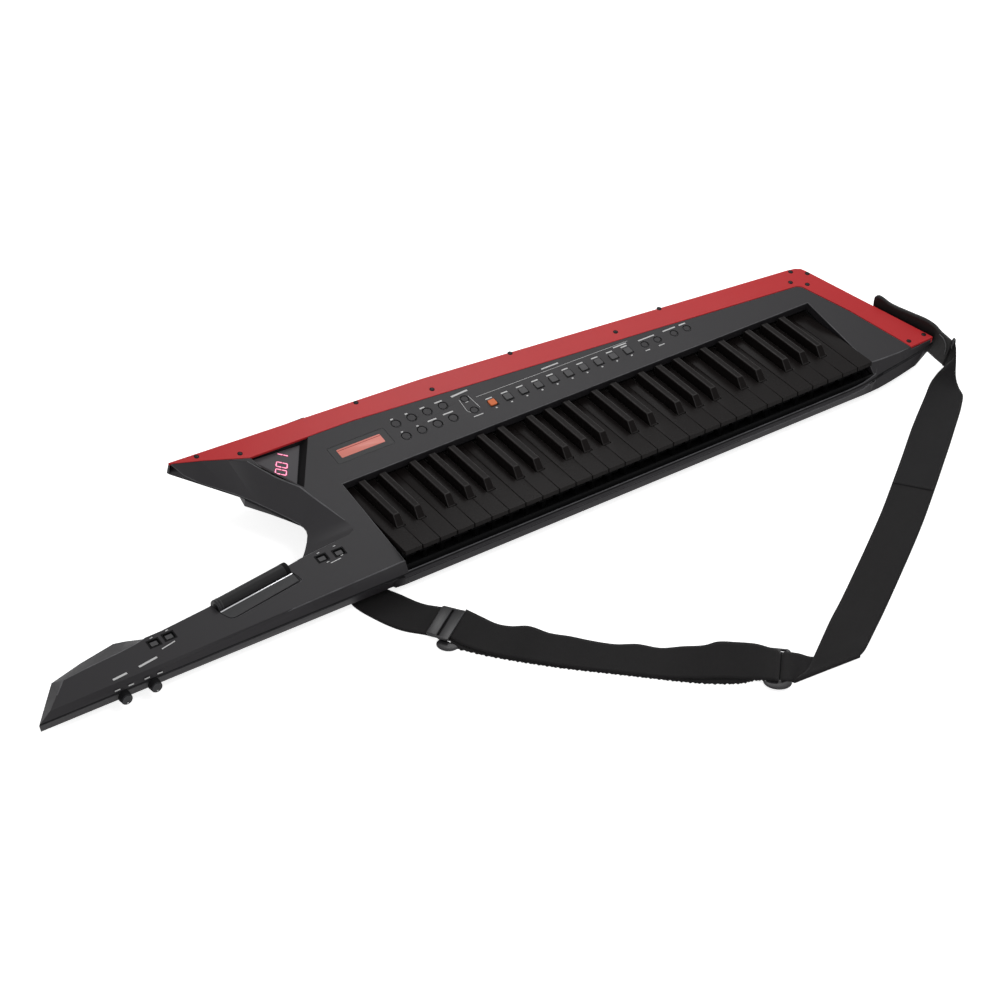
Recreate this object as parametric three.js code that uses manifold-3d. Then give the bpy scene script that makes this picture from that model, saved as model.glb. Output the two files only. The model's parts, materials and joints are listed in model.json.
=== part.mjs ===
import * as THREE from 'three';
import { mergeVertices } from 'three/addons/utils/BufferGeometryUtils.js';
import Module from 'manifold-3d';

// Sizes in millimetres, angles in degrees. Lengths scale together.
// The octave span sets the plan of the whole instrument.
const octave = 165.2;
const keysPerOctave = 7;
const whiteKeys = 29;
const whitePitch = octave / keysPerOctave;
const keyboardRun = whitePitch * whiteKeys;
const panelTilt = 10.064;
const panelDropShare = 0.053299;
const panelDrop = octave * panelDropShare;
const shellDepthShare = 0.072639;
const shellDepth = octave * shellDepthShare;
const seamGap = 0.3;
const clearance = 0.3;
const overrun = 30;

// White keys
const whiteGap = 1;
const whiteLip = 5.5;
const whiteCover = 2.6;
const skirtBackShare = 0.23608;
const skirtBack = octave * skirtBackShare;
const skirtFront = 10;
const skirtSide = 2;
const skirtDepthShare = 0.108959;
const skirtDepth = octave * skirtDepthShare;
const skirtWall = 2;
const whiteLengthShare = 1.11380;
const whiteLength = octave * whiteLengthShare;
const whiteEdge = 0.6;
const tailWall = 2;
const tailStartShare = 0.24818;
const tailStart = octave * tailStartShare;
const tailFill = 6;

// Sharps and the rail that joins the five of an octave
const sharpWidth = 10.4;
const sharpTopWidth = 9.2;
const sharpFootShare = 0.25424;
const sharpFoot = octave * sharpFootShare;
const sharpBrowShare = 0.31477;
const sharpBrow = octave * sharpBrowShare;
const sharpRise = 12;
const sharpRoot = 5.5;
const sharpGap = 1;
const sharpBackShare = 0.78390;
const sharpBack = octave * sharpBackShare;
const sharpTail = 8;
const sharpTailTop = 1;
const railGap = 1.2;
const sharpRailFront = whiteLength + railGap;
const railThick = 4.8;
const sharpRailBack = sharpRailFront + railThick;
const sharpRailLow = 9;
const sharpRailHigh = 1;
const sharpCentreShares = [0.1286, 0.3, 0.551, 0.7143, 0.8777];

// Slot for the keys, in the top face
const slotLeft = 2;
const slotRight = 2;
const slotBackShare = 0.80508;
const slotBack = octave * slotBackShare;
const slotFront = 9.9;
const sillTop = 10.1;
const railDrop = 15.3;
const railReach = 14.9;

// Chassis under the keys
const wellFrontShare = 0.033293;
const wellFront = octave * wellFrontShare;
const chassisSpare = 1;
const wellLipShare = 0.050242;
const wellLip = octave * wellLipShare;
const wellLipTopShare = 0.157385;
const wellLipTop = octave * wellLipTopShare;
const wellSpare = 3;
const wellBack = sharpRailBack + wellSpare;
const wellFloorShare = 0.217918;
const wellFloor = octave * wellFloorShare;
const wellRoof = 60;
const chassisLowShare = 0.214891;
const chassisLow = octave * chassisLowShare;
const chassisPlate = 2;
const chassisFrontShare = 0.024213;
const chassisFront = octave * chassisFrontShare;
const chassisWall = 1.8;
const chassisWallTopShare = 0.102906;
const chassisWallTop = octave * chassisWallTopShare;
const stopFrontShare = 0.20581;
const stopFront = octave * stopFrontShare;
const stopDeep = 6;
const stopBack = stopFront + stopDeep;
const stopTopShare = 0.161017;
const stopTop = octave * stopTopShare;
const pivotInset = 4;
const pivotY = whiteLength - pivotInset;
const pivotHalf = 2.2;
const pivotTop = 6.1;
const pivotFlat = 0.5;
const guideWidth = 5;
const guideFrontShare = 0.08475;
const guideFront = octave * guideFrontShare;
const guideDeep = 8;
const guideBack = guideFront + guideDeep;
const guideTopShare = 0.085956;
const guideTop = octave * guideTopShare;
const chassisBack = wellBack - chassisSpare;

// Lower housing
const bellyLevelShare = 0.286320;
const bellyLevel = octave * bellyLevelShare;
const neckLevelShare = 0.242131;
const neckLevel = octave * neckLevelShare;
const wingLevelShare = 0.012107;
const wingLevel = octave * wingLevelShare;
const wallDepthShare = 0.151332;
const wallDepth = octave * wallDepthShare;
const neckDepthShare = 0.272397;
const neckDepth = octave * neckDepthShare;
const hullDepthShare = 0.484262;
const hullDepth = octave * hullDepthShare;
const footRadius = 9;
const footDropShare = 0.024213;
const footDrop = octave * footDropShare;
const footSides = 24;

// Red edge panel
const edgeThick = 2.6;
const edgeProud = 0.6;
const edgeLip = 2.4;
const edgeLipDepth = 8;

// Number display in its triangular recess, and the screen
const recessDepth = 8.3;
const windowThick = 2;
const screenPocket = 1.7;
const screenThick = 1.4;
const screenCorner = 2;

// Keypads: caps on a sheet that hangs under the skin
const skin = 3.2;
const matThick = 1.4;
const matGap = 0.6;
const matMargin = 7;
const padMargin = 1.4;
const capGap = 0.8;
const capSink = 0.3;
const capProud = 1.4;
const menuRadius = 5.2;
const modeRadius = 4.5;
const playerRadius = 4.3;
const capSides = 24;
const programHalf = 4.6;
const programCorner = 1.4;
const neckCapHalf = 2.9;
const neckCapLong = 4.2;
const neckWellHalf = 4.6;
const neckWellLong = 6.2;
const neckWellDepth = 2;
const neckCapDrop = 4.4;
const neckCapLow = 1.1;
const neckButtonSocket = 6.4;

// Ribbon plate, modulation bar and knobs
const ribbonThick = 1.5;
const barRadius = 8.5;
const barPocket = 9.3;
const barSet = 9.4;
const barDrop = 1.8;
const barSides = 36;
const barEndGap = 1.2;
const knobRadius = 6.6;
const knobFoot = 7.4;
const knobLength = 8.5;
const knobShaft = 3;
const knobShaftLength = 7;
const knobSides = 36;
const knobEdge = 0.8;

// Strap and its fittings
const webbingShare = 0.009685;
const webbing = octave * webbingShare;
const webbingPairShare = 0.020581;
const webbingPair = octave * webbingPairShare;
const ringLongShare = 0.157385;
const ringLong = octave * ringLongShare;
const ringSideShare = 0.015133;
const ringSide = octave * ringSideShare;
const strapWideShare = 0.30751;
const strapRoomShare = 0.000605;
const strapRoom = octave * strapRoomShare;
const ringWide = octave * strapWideShare + (ringSide + strapRoom) * 2;
const ringThickShare = 0.018160;
const ringThick = octave * ringThickShare;
const ringBarShare = 0.030266;
const ringBar = octave * ringBarShare;
const ringPostShare = 0.024213;
const ringPost = octave * ringPostShare;
const ringLevelShare = 0.281477;
const ringLevel = octave * ringLevelShare;
const ringHeading = -54.8;
const sliderHeading = -42;
const sliderLevelShare = 0.282082;
const sliderLevel = octave * sliderLevelShare;
const pinSides = 24;
const pinBase = 7;
const pinNeck = 3.3;
const pinHead = 6.6;
const pinFlange = 1.4;
const pinLength = 9.6;
const pinCap = 2.4;
const tabThick = 3.2;
const tabHole = 4.4;
const batteryPlate = 2;
const batteryPocket = 2.4;

// Small sizes shared by the solids
const weld = 0.0001;
const weldDepth = 0.1;
const cornerSteps = 3;
const sillFlat = 1.2;
const facetReach = 1.25;
const windowInset = 0.03;
const neckWellCorner = 1.2;
const neckCapCorner = 0.8;
const farShare = 8;
const sharpRound = 1.1;
const sharpCrown = 3.5;
const pointerWide = 1.2;
const pointerDeep = 0.8;
const pointerLong = 3.6;
const knobFrontShare = 0.072034;
const knobFront = octave * knobFrontShare;
const knobSocket = 3.6;
const knobSocketDepth = 8;
const rightWallAngle = -68.2;
const ringCornerShare = 0.018160;
const ringCorner = octave * ringCornerShare;
const ringBowShare = 0.030266;
const ringBow = octave * ringBowShare;

// Edge of the top face: along the front, up the right side, along the far edge, round the crook and the neck.
const topShares = [
  [-2.7240, -0.0605],
  [-1.7554, -0.0605],
  [-0.9080, -0.0400],
  [-0.0121, -0.0182],
  [3.9649, 0.0484],
  [4.0920, 0.0484],
  [4.1707, 0.0515],
  [4.2494, 0.0424],
  [4.3281, 0.0393],
  [4.4431, 0.0363],
  [4.5581, 0.0400],
  [4.6731, 0.0442],
  [4.7875, 0.0490],
  [4.5176, 0.7343],
  [4.3705, 1.1077],
  [4.3493, 1.1404],
  [4.3069, 1.1622],
  [4.2460, 1.1772],
  [3.7823, 1.2266],
  [3.2395, 1.2804],
  [2.6995, 1.3294],
  [2.1625, 1.3737],
  [1.6283, 1.4132],
  [1.0971, 1.4481],
  [0.5688, 1.4782],
  [0.0433, 1.5035],
  [-0.4792, 1.5242],
  [-0.7913, 1.5343],
  [-0.9806, 1.5369],
  [-0.9988, 1.5254],
  [-0.9958, 1.5073],
  [-0.8559, 1.3214],
  [-0.6513, 1.0515],
  [-0.5515, 0.8783],
  [-0.4812, 0.7415],
  [-0.4455, 0.6628],
  [-0.4334, 0.6235],
  [-0.4334, 0.5872],
  [-0.4479, 0.5478],
  [-0.4873, 0.4903],
  [-0.5327, 0.4352],
  [-0.5811, 0.3844],
  [-0.6205, 0.3511],
  [-0.6659, 0.3263],
  [-0.7506, 0.3148],
  [-1.0654, 0.2797],
  [-1.3862, 0.2433],
  [-1.6259, 0.2209],
  [-1.7839, 0.2058],
  [-1.8886, 0.2034],
  [-1.9855, 0.1816],
  [-2.1005, 0.1683],
  [-2.3608, 0.1489],
  [-2.5333, 0.1314],
  [-2.6247, 0.0375],
];

// The same walk at the seam.
const seamShares = [
  [-2.8148, -0.0817],
  [-1.7554, -0.0817],
  [-0.9080, -0.0817],
  [-0.0121, -0.0817],
  [3.9649, -0.0817],
  [4.0920, -0.0714],
  [4.1707, -0.0484],
  [4.2494, -0.0339],
  [4.3281, -0.0218],
  [4.4431, -0.0073],
  [4.5884, 0.0133],
  [4.7034, 0.0327],
  [4.8123, 0.0545],
  [4.5375, 0.7385],
  [4.3856, 1.1138],
  [4.3620, 1.1477],
  [4.3130, 1.1731],
  [4.2460, 1.1863],
  [3.7823, 1.2357],
  [3.2395, 1.2894],
  [2.6995, 1.3385],
  [2.1625, 1.3828],
  [1.6283, 1.4223],
  [1.0971, 1.4572],
  [0.5688, 1.4872],
  [0.0433, 1.5126],
  [-0.4792, 1.5332],
  [-0.7913, 1.5433],
  [-0.9867, 1.5430],
  [-1.0079, 1.5254],
  [-1.0018, 1.5073],
  [-0.8559, 1.3214],
  [-0.6513, 1.0515],
  [-0.5515, 0.8783],
  [-0.4812, 0.7415],
  [-0.4455, 0.6628],
  [-0.4334, 0.6235],
  [-0.4334, 0.5872],
  [-0.4479, 0.5478],
  [-0.4873, 0.4903],
  [-0.5327, 0.4352],
  [-0.5811, 0.3844],
  [-0.6205, 0.3511],
  [-0.6659, 0.3263],
  [-0.7506, 0.3148],
  [-1.0654, 0.2918],
  [-1.3862, 0.2573],
  [-1.6259, 0.2373],
  [-1.7839, 0.2300],
  [-1.8826, 0.2512],
  [-1.9976, 0.2906],
  [-2.0763, 0.3087],
  [-2.3426, 0.2603],
  [-2.5847, 0.1979],
  [-2.6998, 0.0581],
];

// Outer side of the red panel, from the tip to the near right corner.
const edgeOuterShares = [
  [-0.9891, 1.5407],
  [-0.7913, 1.5343],
  [-0.4792, 1.5242],
  [0.0433, 1.5035],
  [0.5688, 1.4782],
  [1.0971, 1.4481],
  [1.6283, 1.4132],
  [2.1625, 1.3737],
  [2.6995, 1.3294],
  [3.2395, 1.2804],
  [3.7823, 1.2266],
  [4.2460, 1.1772],
  [4.3069, 1.1656],
  [4.3499, 1.1435],
  [4.3699, 1.1078],
  [4.5176, 0.7341],
  [4.7875, 0.0492],
];

// Inner side of the red panel, from the near right corner back to the tip.
const edgeInnerShares = [
  [4.5605, 0.0400],
  [4.5345, 0.1408],
  [4.3935, 0.5791],
  [4.2355, 0.9542],
  [4.2252, 0.9751],
  [4.1895, 0.9966],
  [3.3160, 1.0691],
  [2.1035, 1.1872],
  [1.5962, 1.2302],
  [1.1762, 1.2566],
  [0.7627, 1.2824],
  [0.3590, 1.3126],
  [0.0182, 1.3175],
  [-0.4564, 1.3249],
  [-0.6084, 1.3863],
  [-0.7803, 1.4595],
  [-0.9794, 1.5302],
];

// Upper line of the scooped facet, from the tip to the throat, with its depth.
const ridgeShares = [
  [-0.9794, 1.5302, 0.0000],
  [-0.7803, 1.4595, 0.0000],
  [-0.6084, 1.3863, 0.0000],
  [-0.4891, 1.3083, 0.0000],
  [-0.4146, 1.1773, 0.0000],
  [-0.3553, 1.0759, 0.0000],
  [-0.2912, 0.9166, 0.0000],
  [-0.2609, 0.7912, 0.0000],
  [-0.2191, 0.6394, 0.0000],
  [-0.1786, 0.4986, 0.0000],
  [-0.1646, 0.4273, 0.0000],
  [-0.1792, 0.3916, 0.0036],
  [-0.2282, 0.3683, 0.0109],
  [-0.3826, 0.3578, 0.0303],
  [-0.6356, 0.3357, 0.0557],
];

// Lower line of the facet, along the open side of the crook, with its depth.
const crookShares = [
  [-0.9958, 1.5073, 0.0605],
  [-0.8559, 1.3214, 0.0605],
  [-0.6513, 1.0515, 0.0605],
  [-0.5811, 0.9322, 0.0605],
  [-0.5515, 0.8783, 0.0605],
  [-0.4812, 0.7415, 0.0605],
  [-0.4455, 0.6628, 0.0605],
  [-0.4334, 0.6235, 0.0605],
  [-0.4334, 0.5872, 0.0605],
  [-0.4479, 0.5478, 0.0605],
  [-0.4873, 0.4903, 0.0605],
  [-0.5327, 0.4352, 0.0605],
  [-0.5811, 0.3844, 0.0605],
  [-0.6205, 0.3511, 0.0605],
  [-0.6659, 0.3263, 0.0605],
];

// Sill along the front of the keys: place, step back and step up.
const railShares = [
  [-0.0484, 0.0000, 0.0000],
  [3.8741, 0.0000, 0.0000],
  [3.9588, 0.0030, 0.0018],
  [4.0254, 0.0085, 0.0054],
  [4.1041, 0.0218, 0.0127],
  [4.1768, 0.0393, 0.0200],
];

// Hull at the seam, from the near left corner round to the left wall.
const hullSeamShares = [
  [-0.1211, -0.0757],
  [-0.0484, -0.0920],
  [3.8741, -0.0920],
  [4.0133, -0.0847],
  [4.0920, -0.0714],
  [4.1707, -0.0484],
  [4.2494, -0.0339],
  [4.3281, -0.0218],
  [4.4431, -0.0073],
  [4.5884, 0.0133],
  [4.7034, 0.0327],
  [4.8099, 0.0545],
  [4.5351, 0.7385],
  [4.3832, 1.1138],
  [4.3596, 1.1465],
  [4.3117, 1.1707],
  [4.2460, 1.1844],
  [3.7823, 1.2339],
  [3.2395, 1.2876],
  [2.6995, 1.3367],
  [2.1625, 1.3809],
  [1.6283, 1.4205],
  [1.0971, 1.4553],
  [0.5688, 1.4854],
  [0.0433, 1.5108],
  [-0.1816, 1.5188],
  [-0.1816, 0.1211],
];

// Hull at the foot of its walls.
const hullWallShares = [
  [-0.1211, -0.0944],
  [-0.0484, -0.1005],
  [3.8741, -0.0956],
  [4.0133, -0.0969],
  [4.0920, -0.0956],
  [4.1707, -0.0926],
  [4.2494, -0.0835],
  [4.3281, -0.0726],
  [4.4431, -0.0533],
  [4.5884, -0.0266],
  [4.6943, 0.0182],
  [4.8002, 0.0630],
  [4.5351, 0.7385],
  [4.3832, 1.1138],
  [4.3596, 1.1441],
  [4.3117, 1.1646],
  [4.2460, 1.1784],
  [3.7823, 1.2278],
  [3.2395, 1.2816],
  [2.6995, 1.3306],
  [2.1625, 1.3749],
  [1.6283, 1.4145],
  [1.0971, 1.4493],
  [0.5688, 1.4794],
  [0.0433, 1.5047],
  [-0.1816, 1.5127],
  [-0.1816, 0.1211],
];

// Hull carried down along its bevels.
const hullKeelShares = [
  [-0.1211, 0.4116],
  [-0.0484, 0.4116],
  [3.8741, 0.4116],
  [3.9649, 0.4128],
  [4.0194, 0.4146],
  [4.0799, 0.4177],
  [4.1404, 0.4213],
  [4.2010, 0.4255],
  [4.2736, 0.4328],
  [4.3462, 0.4479],
  [4.4068, 0.4782],
  [4.4431, 0.5206],
  [4.3705, 0.7385],
  [4.2373, 0.8838],
  [4.2191, 0.9080],
  [4.1768, 0.9262],
  [4.1187, 0.9229],
  [3.6689, 0.9724],
  [3.1423, 1.0261],
  [2.6185, 1.0751],
  [2.0976, 1.1194],
  [1.5795, 1.1590],
  [1.0642, 1.1938],
  [0.5517, 1.2239],
  [0.0420, 1.2493],
  [-0.1695, 1.2530],
  [-0.1695, 0.4843],
];

// Lower half of the neck at the seam.
const neckSeamShares = [
  [-2.8148, -0.0817],
  [-1.7554, -0.0817],
  [-0.9080, -0.0817],
  [0.0000, -0.0817],
  [0.0000, 0.3148],
  [-0.3632, 0.3208],
  [-0.6205, 0.3390],
  [-0.6659, 0.3263],
  [-0.7506, 0.3148],
  [-1.0654, 0.2918],
  [-1.3862, 0.2573],
  [-1.6259, 0.2373],
  [-1.7839, 0.2300],
  [-1.8826, 0.2512],
  [-1.9976, 0.2906],
  [-2.0763, 0.3087],
  [-2.3426, 0.2603],
  [-2.5847, 0.1979],
  [-2.6998, 0.0581],
];

// The neck at the foot of its walls.
const neckWallShares = [
  [-2.7966, -0.0738],
  [-1.7554, -0.0751],
  [-0.9080, -0.0751],
  [0.0000, -0.0751],
  [0.0000, 0.3027],
  [-0.3632, 0.3087],
  [-0.6205, 0.3269],
  [-0.6659, 0.3148],
  [-0.7506, 0.3027],
  [-1.0654, 0.2797],
  [-1.3862, 0.2452],
  [-1.6259, 0.2252],
  [-1.7839, 0.2179],
  [-1.8826, 0.2331],
  [-1.9976, 0.2663],
  [-2.0763, 0.2845],
  [-2.3366, 0.2361],
  [-2.5605, 0.1798],
  [-2.6755, 0.0521],
];

// The neck carried down along its bevels.
const neckKeelShares = [
  [-2.6271, 0.0878],
  [-1.7554, 0.0969],
  [-0.9080, 0.0969],
  [0.0000, 0.0969],
  [0.0000, 0.2300],
  [-0.3632, 0.2361],
  [-0.6205, 0.2542],
  [-0.6659, 0.2421],
  [-0.7506, 0.2300],
  [-1.0654, 0.2131],
  [-1.3862, 0.1786],
  [-1.6259, 0.1586],
  [-1.7839, 0.1513],
  [-1.8826, 0.1604],
  [-1.9976, 0.1755],
  [-2.0763, 0.1877],
  [-2.3245, 0.1513],
  [-2.4939, 0.1211],
  [-2.5787, 0.0969],
];

// Level wing under the horn.
const wingShares = [
  [0.0000, 0.3632],
  [0.0000, 1.5109],
  [-0.2421, 1.5157],
  [-0.5569, 1.5206],
  [-0.6513, 1.0515],
  [-0.5515, 0.8783],
  [-0.4812, 0.7415],
  [-0.4455, 0.6628],
  [-0.4334, 0.6235],
  [-0.4334, 0.5872],
  [-0.4479, 0.5478],
];

// Triangular recess of the number display at the top face, then at its floor.
const recessTopShares = [
  [-0.4570, 1.3335],
  [-0.2676, 0.8989],
  [0.0182, 1.3245],
];

// Floor of the recess.
const recessFloorShares = [
  [-0.4570, 1.3335],
  [-0.2875, 0.9564],
  [-0.0575, 1.3075],
];

// Screen, two opposite corners.
const screenShares = [
  [0.0654, 0.9806],
  [0.5327, 1.1495],
];

// Button centres.
const menuShares = [
  [0.6410, 1.1454],
  [0.7742, 1.1454],
  [0.9086, 1.1454],
  [1.0418, 1.1454],
  [0.6410, 1.0046],
  [0.7742, 1.0046],
  [0.9086, 1.0046],
  [1.0418, 1.0046],
];

// Mode buttons.
const modeShares = [
  [1.2215, 1.1318],
  [1.2215, 1.0021],
];

// Program buttons.
const programShares = [
  [1.3795, 1.0033],
  [1.5140, 1.0028],
  [1.6485, 1.0022],
  [1.7831, 1.0017],
  [1.9176, 1.0011],
  [2.0521, 1.0006],
  [2.1866, 1.0000],
  [2.3211, 0.9995],
  [2.4556, 0.9989],
  [2.5901, 0.9984],
];

// Player buttons.
const playerShares = [
  [2.7482, 1.0021],
  [2.8662, 1.0021],
  [3.0206, 1.0021],
  [3.1410, 1.0021],
];

// Octave and hold buttons on the neck and the body.
const neckCapShares = [
  [-1.8686, 0.1328],
  [-1.7530, 0.1396],
  [-0.5030, 0.2668],
  [-0.3723, 0.2601],
];

// Ribbon plate beside the modulation bar.
const ribbonShares = [
  [-1.3596, 0.1586],
  [-1.3305, 0.1029],
  [-1.3172, 0.0860],
  [-1.2954, 0.0781],
  [-1.2651, 0.0793],
  [-0.7470, 0.1550],
  [-0.7421, 0.1610],
  [-0.7542, 0.2385],
];

// Pocket of the ribbon plate.
const ribbonPocketShares = [
  [-1.3626, 0.1598],
  [-1.3329, 0.1017],
  [-1.3190, 0.0835],
  [-1.2960, 0.0757],
  [-1.2645, 0.0769],
  [-0.7409, 0.1525],
  [-0.7215, 0.1634],
  [-0.7421, 0.2433],
];

// Ends of the line where the modulation bar meets the ribbon plate.
const barShares = [
  [-1.3547, 0.1653],
  [-0.7536, 0.2433],
];

// Knob centres: along the neck, and level.
const knobShares = [
  [-2.2094, -0.1755],
  [-1.9915, -0.1755],
];

// Feet.
const footShares = [
  [0.2724, 0.1695],
  [0.2724, 1.0775],
  [3.9952, 0.1695],
  [3.8499, 0.9685],
];

// Battery cover, two opposite corners.
const batteryShares = [
  [1.5133, 0.3632],
  [2.5424, 0.7264],
];

// Strap from the rear pin to the ring: near edge, then far edge, at each station.
const tailShares = [
  [-0.1816, 1.5387, 0.1574, 0.1211, 1.5387, 0.1574],
  [-0.1816, 1.5387, -0.1453, 0.1211, 1.5387, -0.1453],
  [-0.1816, 1.5303, -0.2300, 0.1211, 1.5303, -0.2300],
  [-0.1877, 1.5042, -0.2875, 0.1150, 1.5042, -0.2875],
  [-0.1877, 1.4286, -0.3039, 0.1150, 1.4286, -0.3039],
  [-0.1937, 1.1501, -0.3039, 0.1090, 1.1501, -0.3039],
  [-0.2542, 0.5448, -0.3039, 0.0484, 0.5630, -0.3039],
  [-0.3632, 0.1453, -0.3039, -0.0787, 0.2058, -0.3039],
  [-0.4116, 0.0363, -0.3039, -0.1392, 0.1090, -0.3039],
  [-0.3632, -0.1816, -0.3039, -0.0726, -0.0726, -0.3039],
  [-0.2785, -0.3753, -0.3039, -0.0061, -0.2240, -0.3039],
  [-0.1618, -0.5127, -0.3039, 0.0895, -0.3355, -0.3039],
  [-0.1436, -0.5384, -0.3039, 0.1076, -0.3612, -0.3039],
  [-0.1216, -0.5696, -0.2657, 0.1296, -0.3923, -0.2657],
  [-0.1042, -0.5943, -0.2657, 0.1471, -0.4171, -0.2657],
  [-0.0822, -0.6255, -0.3039, 0.1691, -0.4482, -0.3039],
  [-0.0697, -0.6433, -0.3039, 0.1816, -0.4660, -0.3039],
];

// Doubled strap from the ring over the slider.
const webShares = [
  [-0.0655, -0.6492, -0.2821, 0.1858, -0.4720, -0.2748],
  [-0.0345, -0.7282, -0.2966, 0.2488, -0.6077, -0.2906],
  [0.0018, -0.8051, -0.2966, 0.2754, -0.6646, -0.2966],
  [0.0508, -0.8880, -0.2966, 0.3057, -0.7167, -0.2966],
  [0.1174, -0.9746, -0.2966, 0.3541, -0.7785, -0.2869],
  [0.2052, -1.0745, -0.2966, 0.4322, -0.8705, -0.2573],
  [0.3027, -1.1822, -0.2966, 0.5297, -0.9746, -0.2936],
  [0.4019, -1.2881, -0.2966, 0.6235, -1.0757, -0.2966],
  [0.5133, -1.3995, -0.2966, 0.7264, -1.1780, -0.2966],
  [0.6277, -1.5079, -0.2966, 0.8384, -1.2839, -0.2966],
  [0.7421, -1.6156, -0.2966, 0.9528, -1.3916, -0.2948],
  [0.8565, -1.7234, -0.2966, 1.0666, -1.4988, -0.2966],
  [0.9728, -1.8299, -0.2966, 1.1768, -1.6011, -0.2700],
  [1.0932, -1.9310, -0.2966, 1.2791, -1.6919, -0.2421],
  [1.2113, -2.0157, -0.2966, 1.3771, -1.7627, -0.2421],
  [1.3142, -2.0793, -0.2966, 1.4673, -1.8184, -0.2421],
  [1.4322, -2.1459, -0.2615, 1.6380, -1.9174, -0.2615],
  [1.5582, -2.2593, -0.2615, 1.7639, -2.0308, -0.2615],
];

// Single strap from the slider to the fold.
const foldShares = [
  [1.5447, -2.2472, -0.2615, 1.7504, -2.0187, -0.2615],
  [1.5639, -2.2624, -0.2627, 1.7656, -2.0303, -0.2627],
  [1.5908, -2.2858, -0.2906, 1.7926, -2.0538, -0.2906],
  [1.6244, -2.3112, -0.3039, 1.8221, -2.0757, -0.3039],
  [1.6435, -2.2548, -0.3039, 1.8826, -2.1126, -0.3039],
  [1.6556, -2.2718, -0.3039, 2.1489, -2.2960, -0.3039],
];

// Strap from the fold along the floor to its turn at the right wall.
const strapShares = [
  [2.1489, -2.2990, -0.2906, 1.6586, -2.2748, -0.2906],
  [2.2155, -2.2579, -0.2912, 1.8826, -2.1277, -0.2906],
  [2.3668, -2.1671, -0.2966, 2.1913, -1.9128, -0.2954],
  [2.5684, -2.0333, -0.3039, 2.3983, -1.7766, -0.3039],
  [2.8686, -1.8287, -0.3039, 2.6931, -1.5763, -0.3039],
  [3.1677, -1.6223, -0.3039, 2.9921, -1.3692, -0.3039],
  [3.4631, -1.4110, -0.3039, 3.2815, -1.1634, -0.3039],
  [3.7524, -1.1913, -0.3039, 3.5630, -0.9492, -0.3039],
  [4.0393, -0.9691, -0.3039, 3.8517, -0.7258, -0.3039],
  [4.3251, -0.7446, -0.3039, 4.1314, -0.5054, -0.3039],
  [4.7155, -0.4177, -0.3039, 4.5339, -0.1725, -0.3039],
  [4.7791, -0.3027, -0.2942, 4.6489, -0.1029, -0.3039],
  [4.8275, -0.2179, -0.2482, 4.7639, -0.0726, -0.3039],
  [4.8850, -0.1332, -0.1453, 4.8426, -0.0515, -0.3045],
  [4.8965, -0.0884, -0.0763, 4.8765, -0.0315, -0.3039],
];

// Leather end that stands on edge along the right wall: low edge, then high edge.
const tabShares = [
  [4.8779, -0.0189, -0.3027, 4.8985, -0.0764, -0.0726],
  [4.8452, 0.0471, -0.2633, 4.8513, 0.0307, -0.0091],
  [4.8198, 0.1088, -0.2270, 4.8307, 0.0810, 0.0303],
  [4.7992, 0.1621, -0.2058, 4.8017, 0.1560, 0.0545],
  [4.7532, 0.2765, -0.1877, 4.7532, 0.2765, 0.0648],
  [4.6879, 0.4387, -0.1574, 4.6879, 0.4387, 0.0817],
  [4.6515, 0.5289, -0.1332, 4.6515, 0.5289, 0.1150],
  [4.6370, 0.5652, -0.1211, 4.6370, 0.5652, 0.0956],
  [4.6346, 0.5713, -0.0787, 4.6346, 0.5713, 0.0545],
];

// Strap pins: on the rear wall and on the right wall.
const pinShares = [
  [0.0030, 1.5139, -0.1211],
  [4.7076, 0.3160, -0.0956],
];

// Ring and slider.
const buckleShares = [
  [0.0127, -0.4933],
  [1.5981, -2.0884],
];

// Tables above are shares of the octave; these helpers turn them into places.
const place = (row) => row.map((share) => share * octave);
const places = (rows) => rows.map(place);
const plane = (rows) => places(rows).map(([x, y]) => new THREE.Vector2(x, y));

// Solids
const wasm = await Module();
wasm.setup();

function solidOf(source) {
  const bare = source.index ? source.toNonIndexed() : source.clone();
  bare.deleteAttribute('normal');
  bare.deleteAttribute('uv');
  const merged = mergeVertices(bare, weld);
  const mesh = new wasm.Mesh({
    numProp: 3,
    vertProperties: new Float32Array(merged.attributes.position.array),
    triVerts: new Uint32Array(merged.index.array),
  });
  return new wasm.Manifold(mesh);
}

function geometryOf(solid) {
  const mesh = solid.getMesh();
  const geometry = new THREE.BufferGeometry();
  geometry.setAttribute('position', new THREE.BufferAttribute(new Float32Array(mesh.vertProperties), 3));
  geometry.setIndex(new THREE.BufferAttribute(new Uint32Array(mesh.triVerts), 1));
  geometry.computeVertexNormals();
  return geometry;
}

const join = (solids) => solids.reduce((all, next) => all.add(next));
const cut = (solid, cutters) => cutters.reduce((rest, next) => rest.subtract(next), solid);

// Box between two corners
function block(x0, x1, y0, y1, z0, z1) {
  const geometry = new THREE.BoxGeometry(x1 - x0, y1 - y0, z1 - z0);
  geometry.translate((x0 + x1) / 2, (y0 + y1) / 2, (z0 + z1) / 2);
  return solidOf(geometry);
}

// Outline in X and Y, raised from one level to another
function prism(outline, low, high) {
  const geometry = new THREE.ExtrudeGeometry(
    new THREE.Shape(outline),
    { depth: high - low, bevelEnabled: false },
  );
  geometry.translate(0, 0, low);
  return solidOf(geometry);
}

// Outline in Y and Z, drawn along X
function bar(outline, from, to) {
  const geometry = new THREE.ExtrudeGeometry(
    new THREE.Shape(outline),
    { depth: to - from, bevelEnabled: false },
  );
  geometry.translate(0, 0, from);
  const turn = new THREE.Matrix4().makeBasis(
    new THREE.Vector3(0, 1, 0),
    new THREE.Vector3(0, 0, 1),
    new THREE.Vector3(1, 0, 0),
  );
  geometry.applyMatrix4(turn);
  return solidOf(geometry);
}

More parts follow.
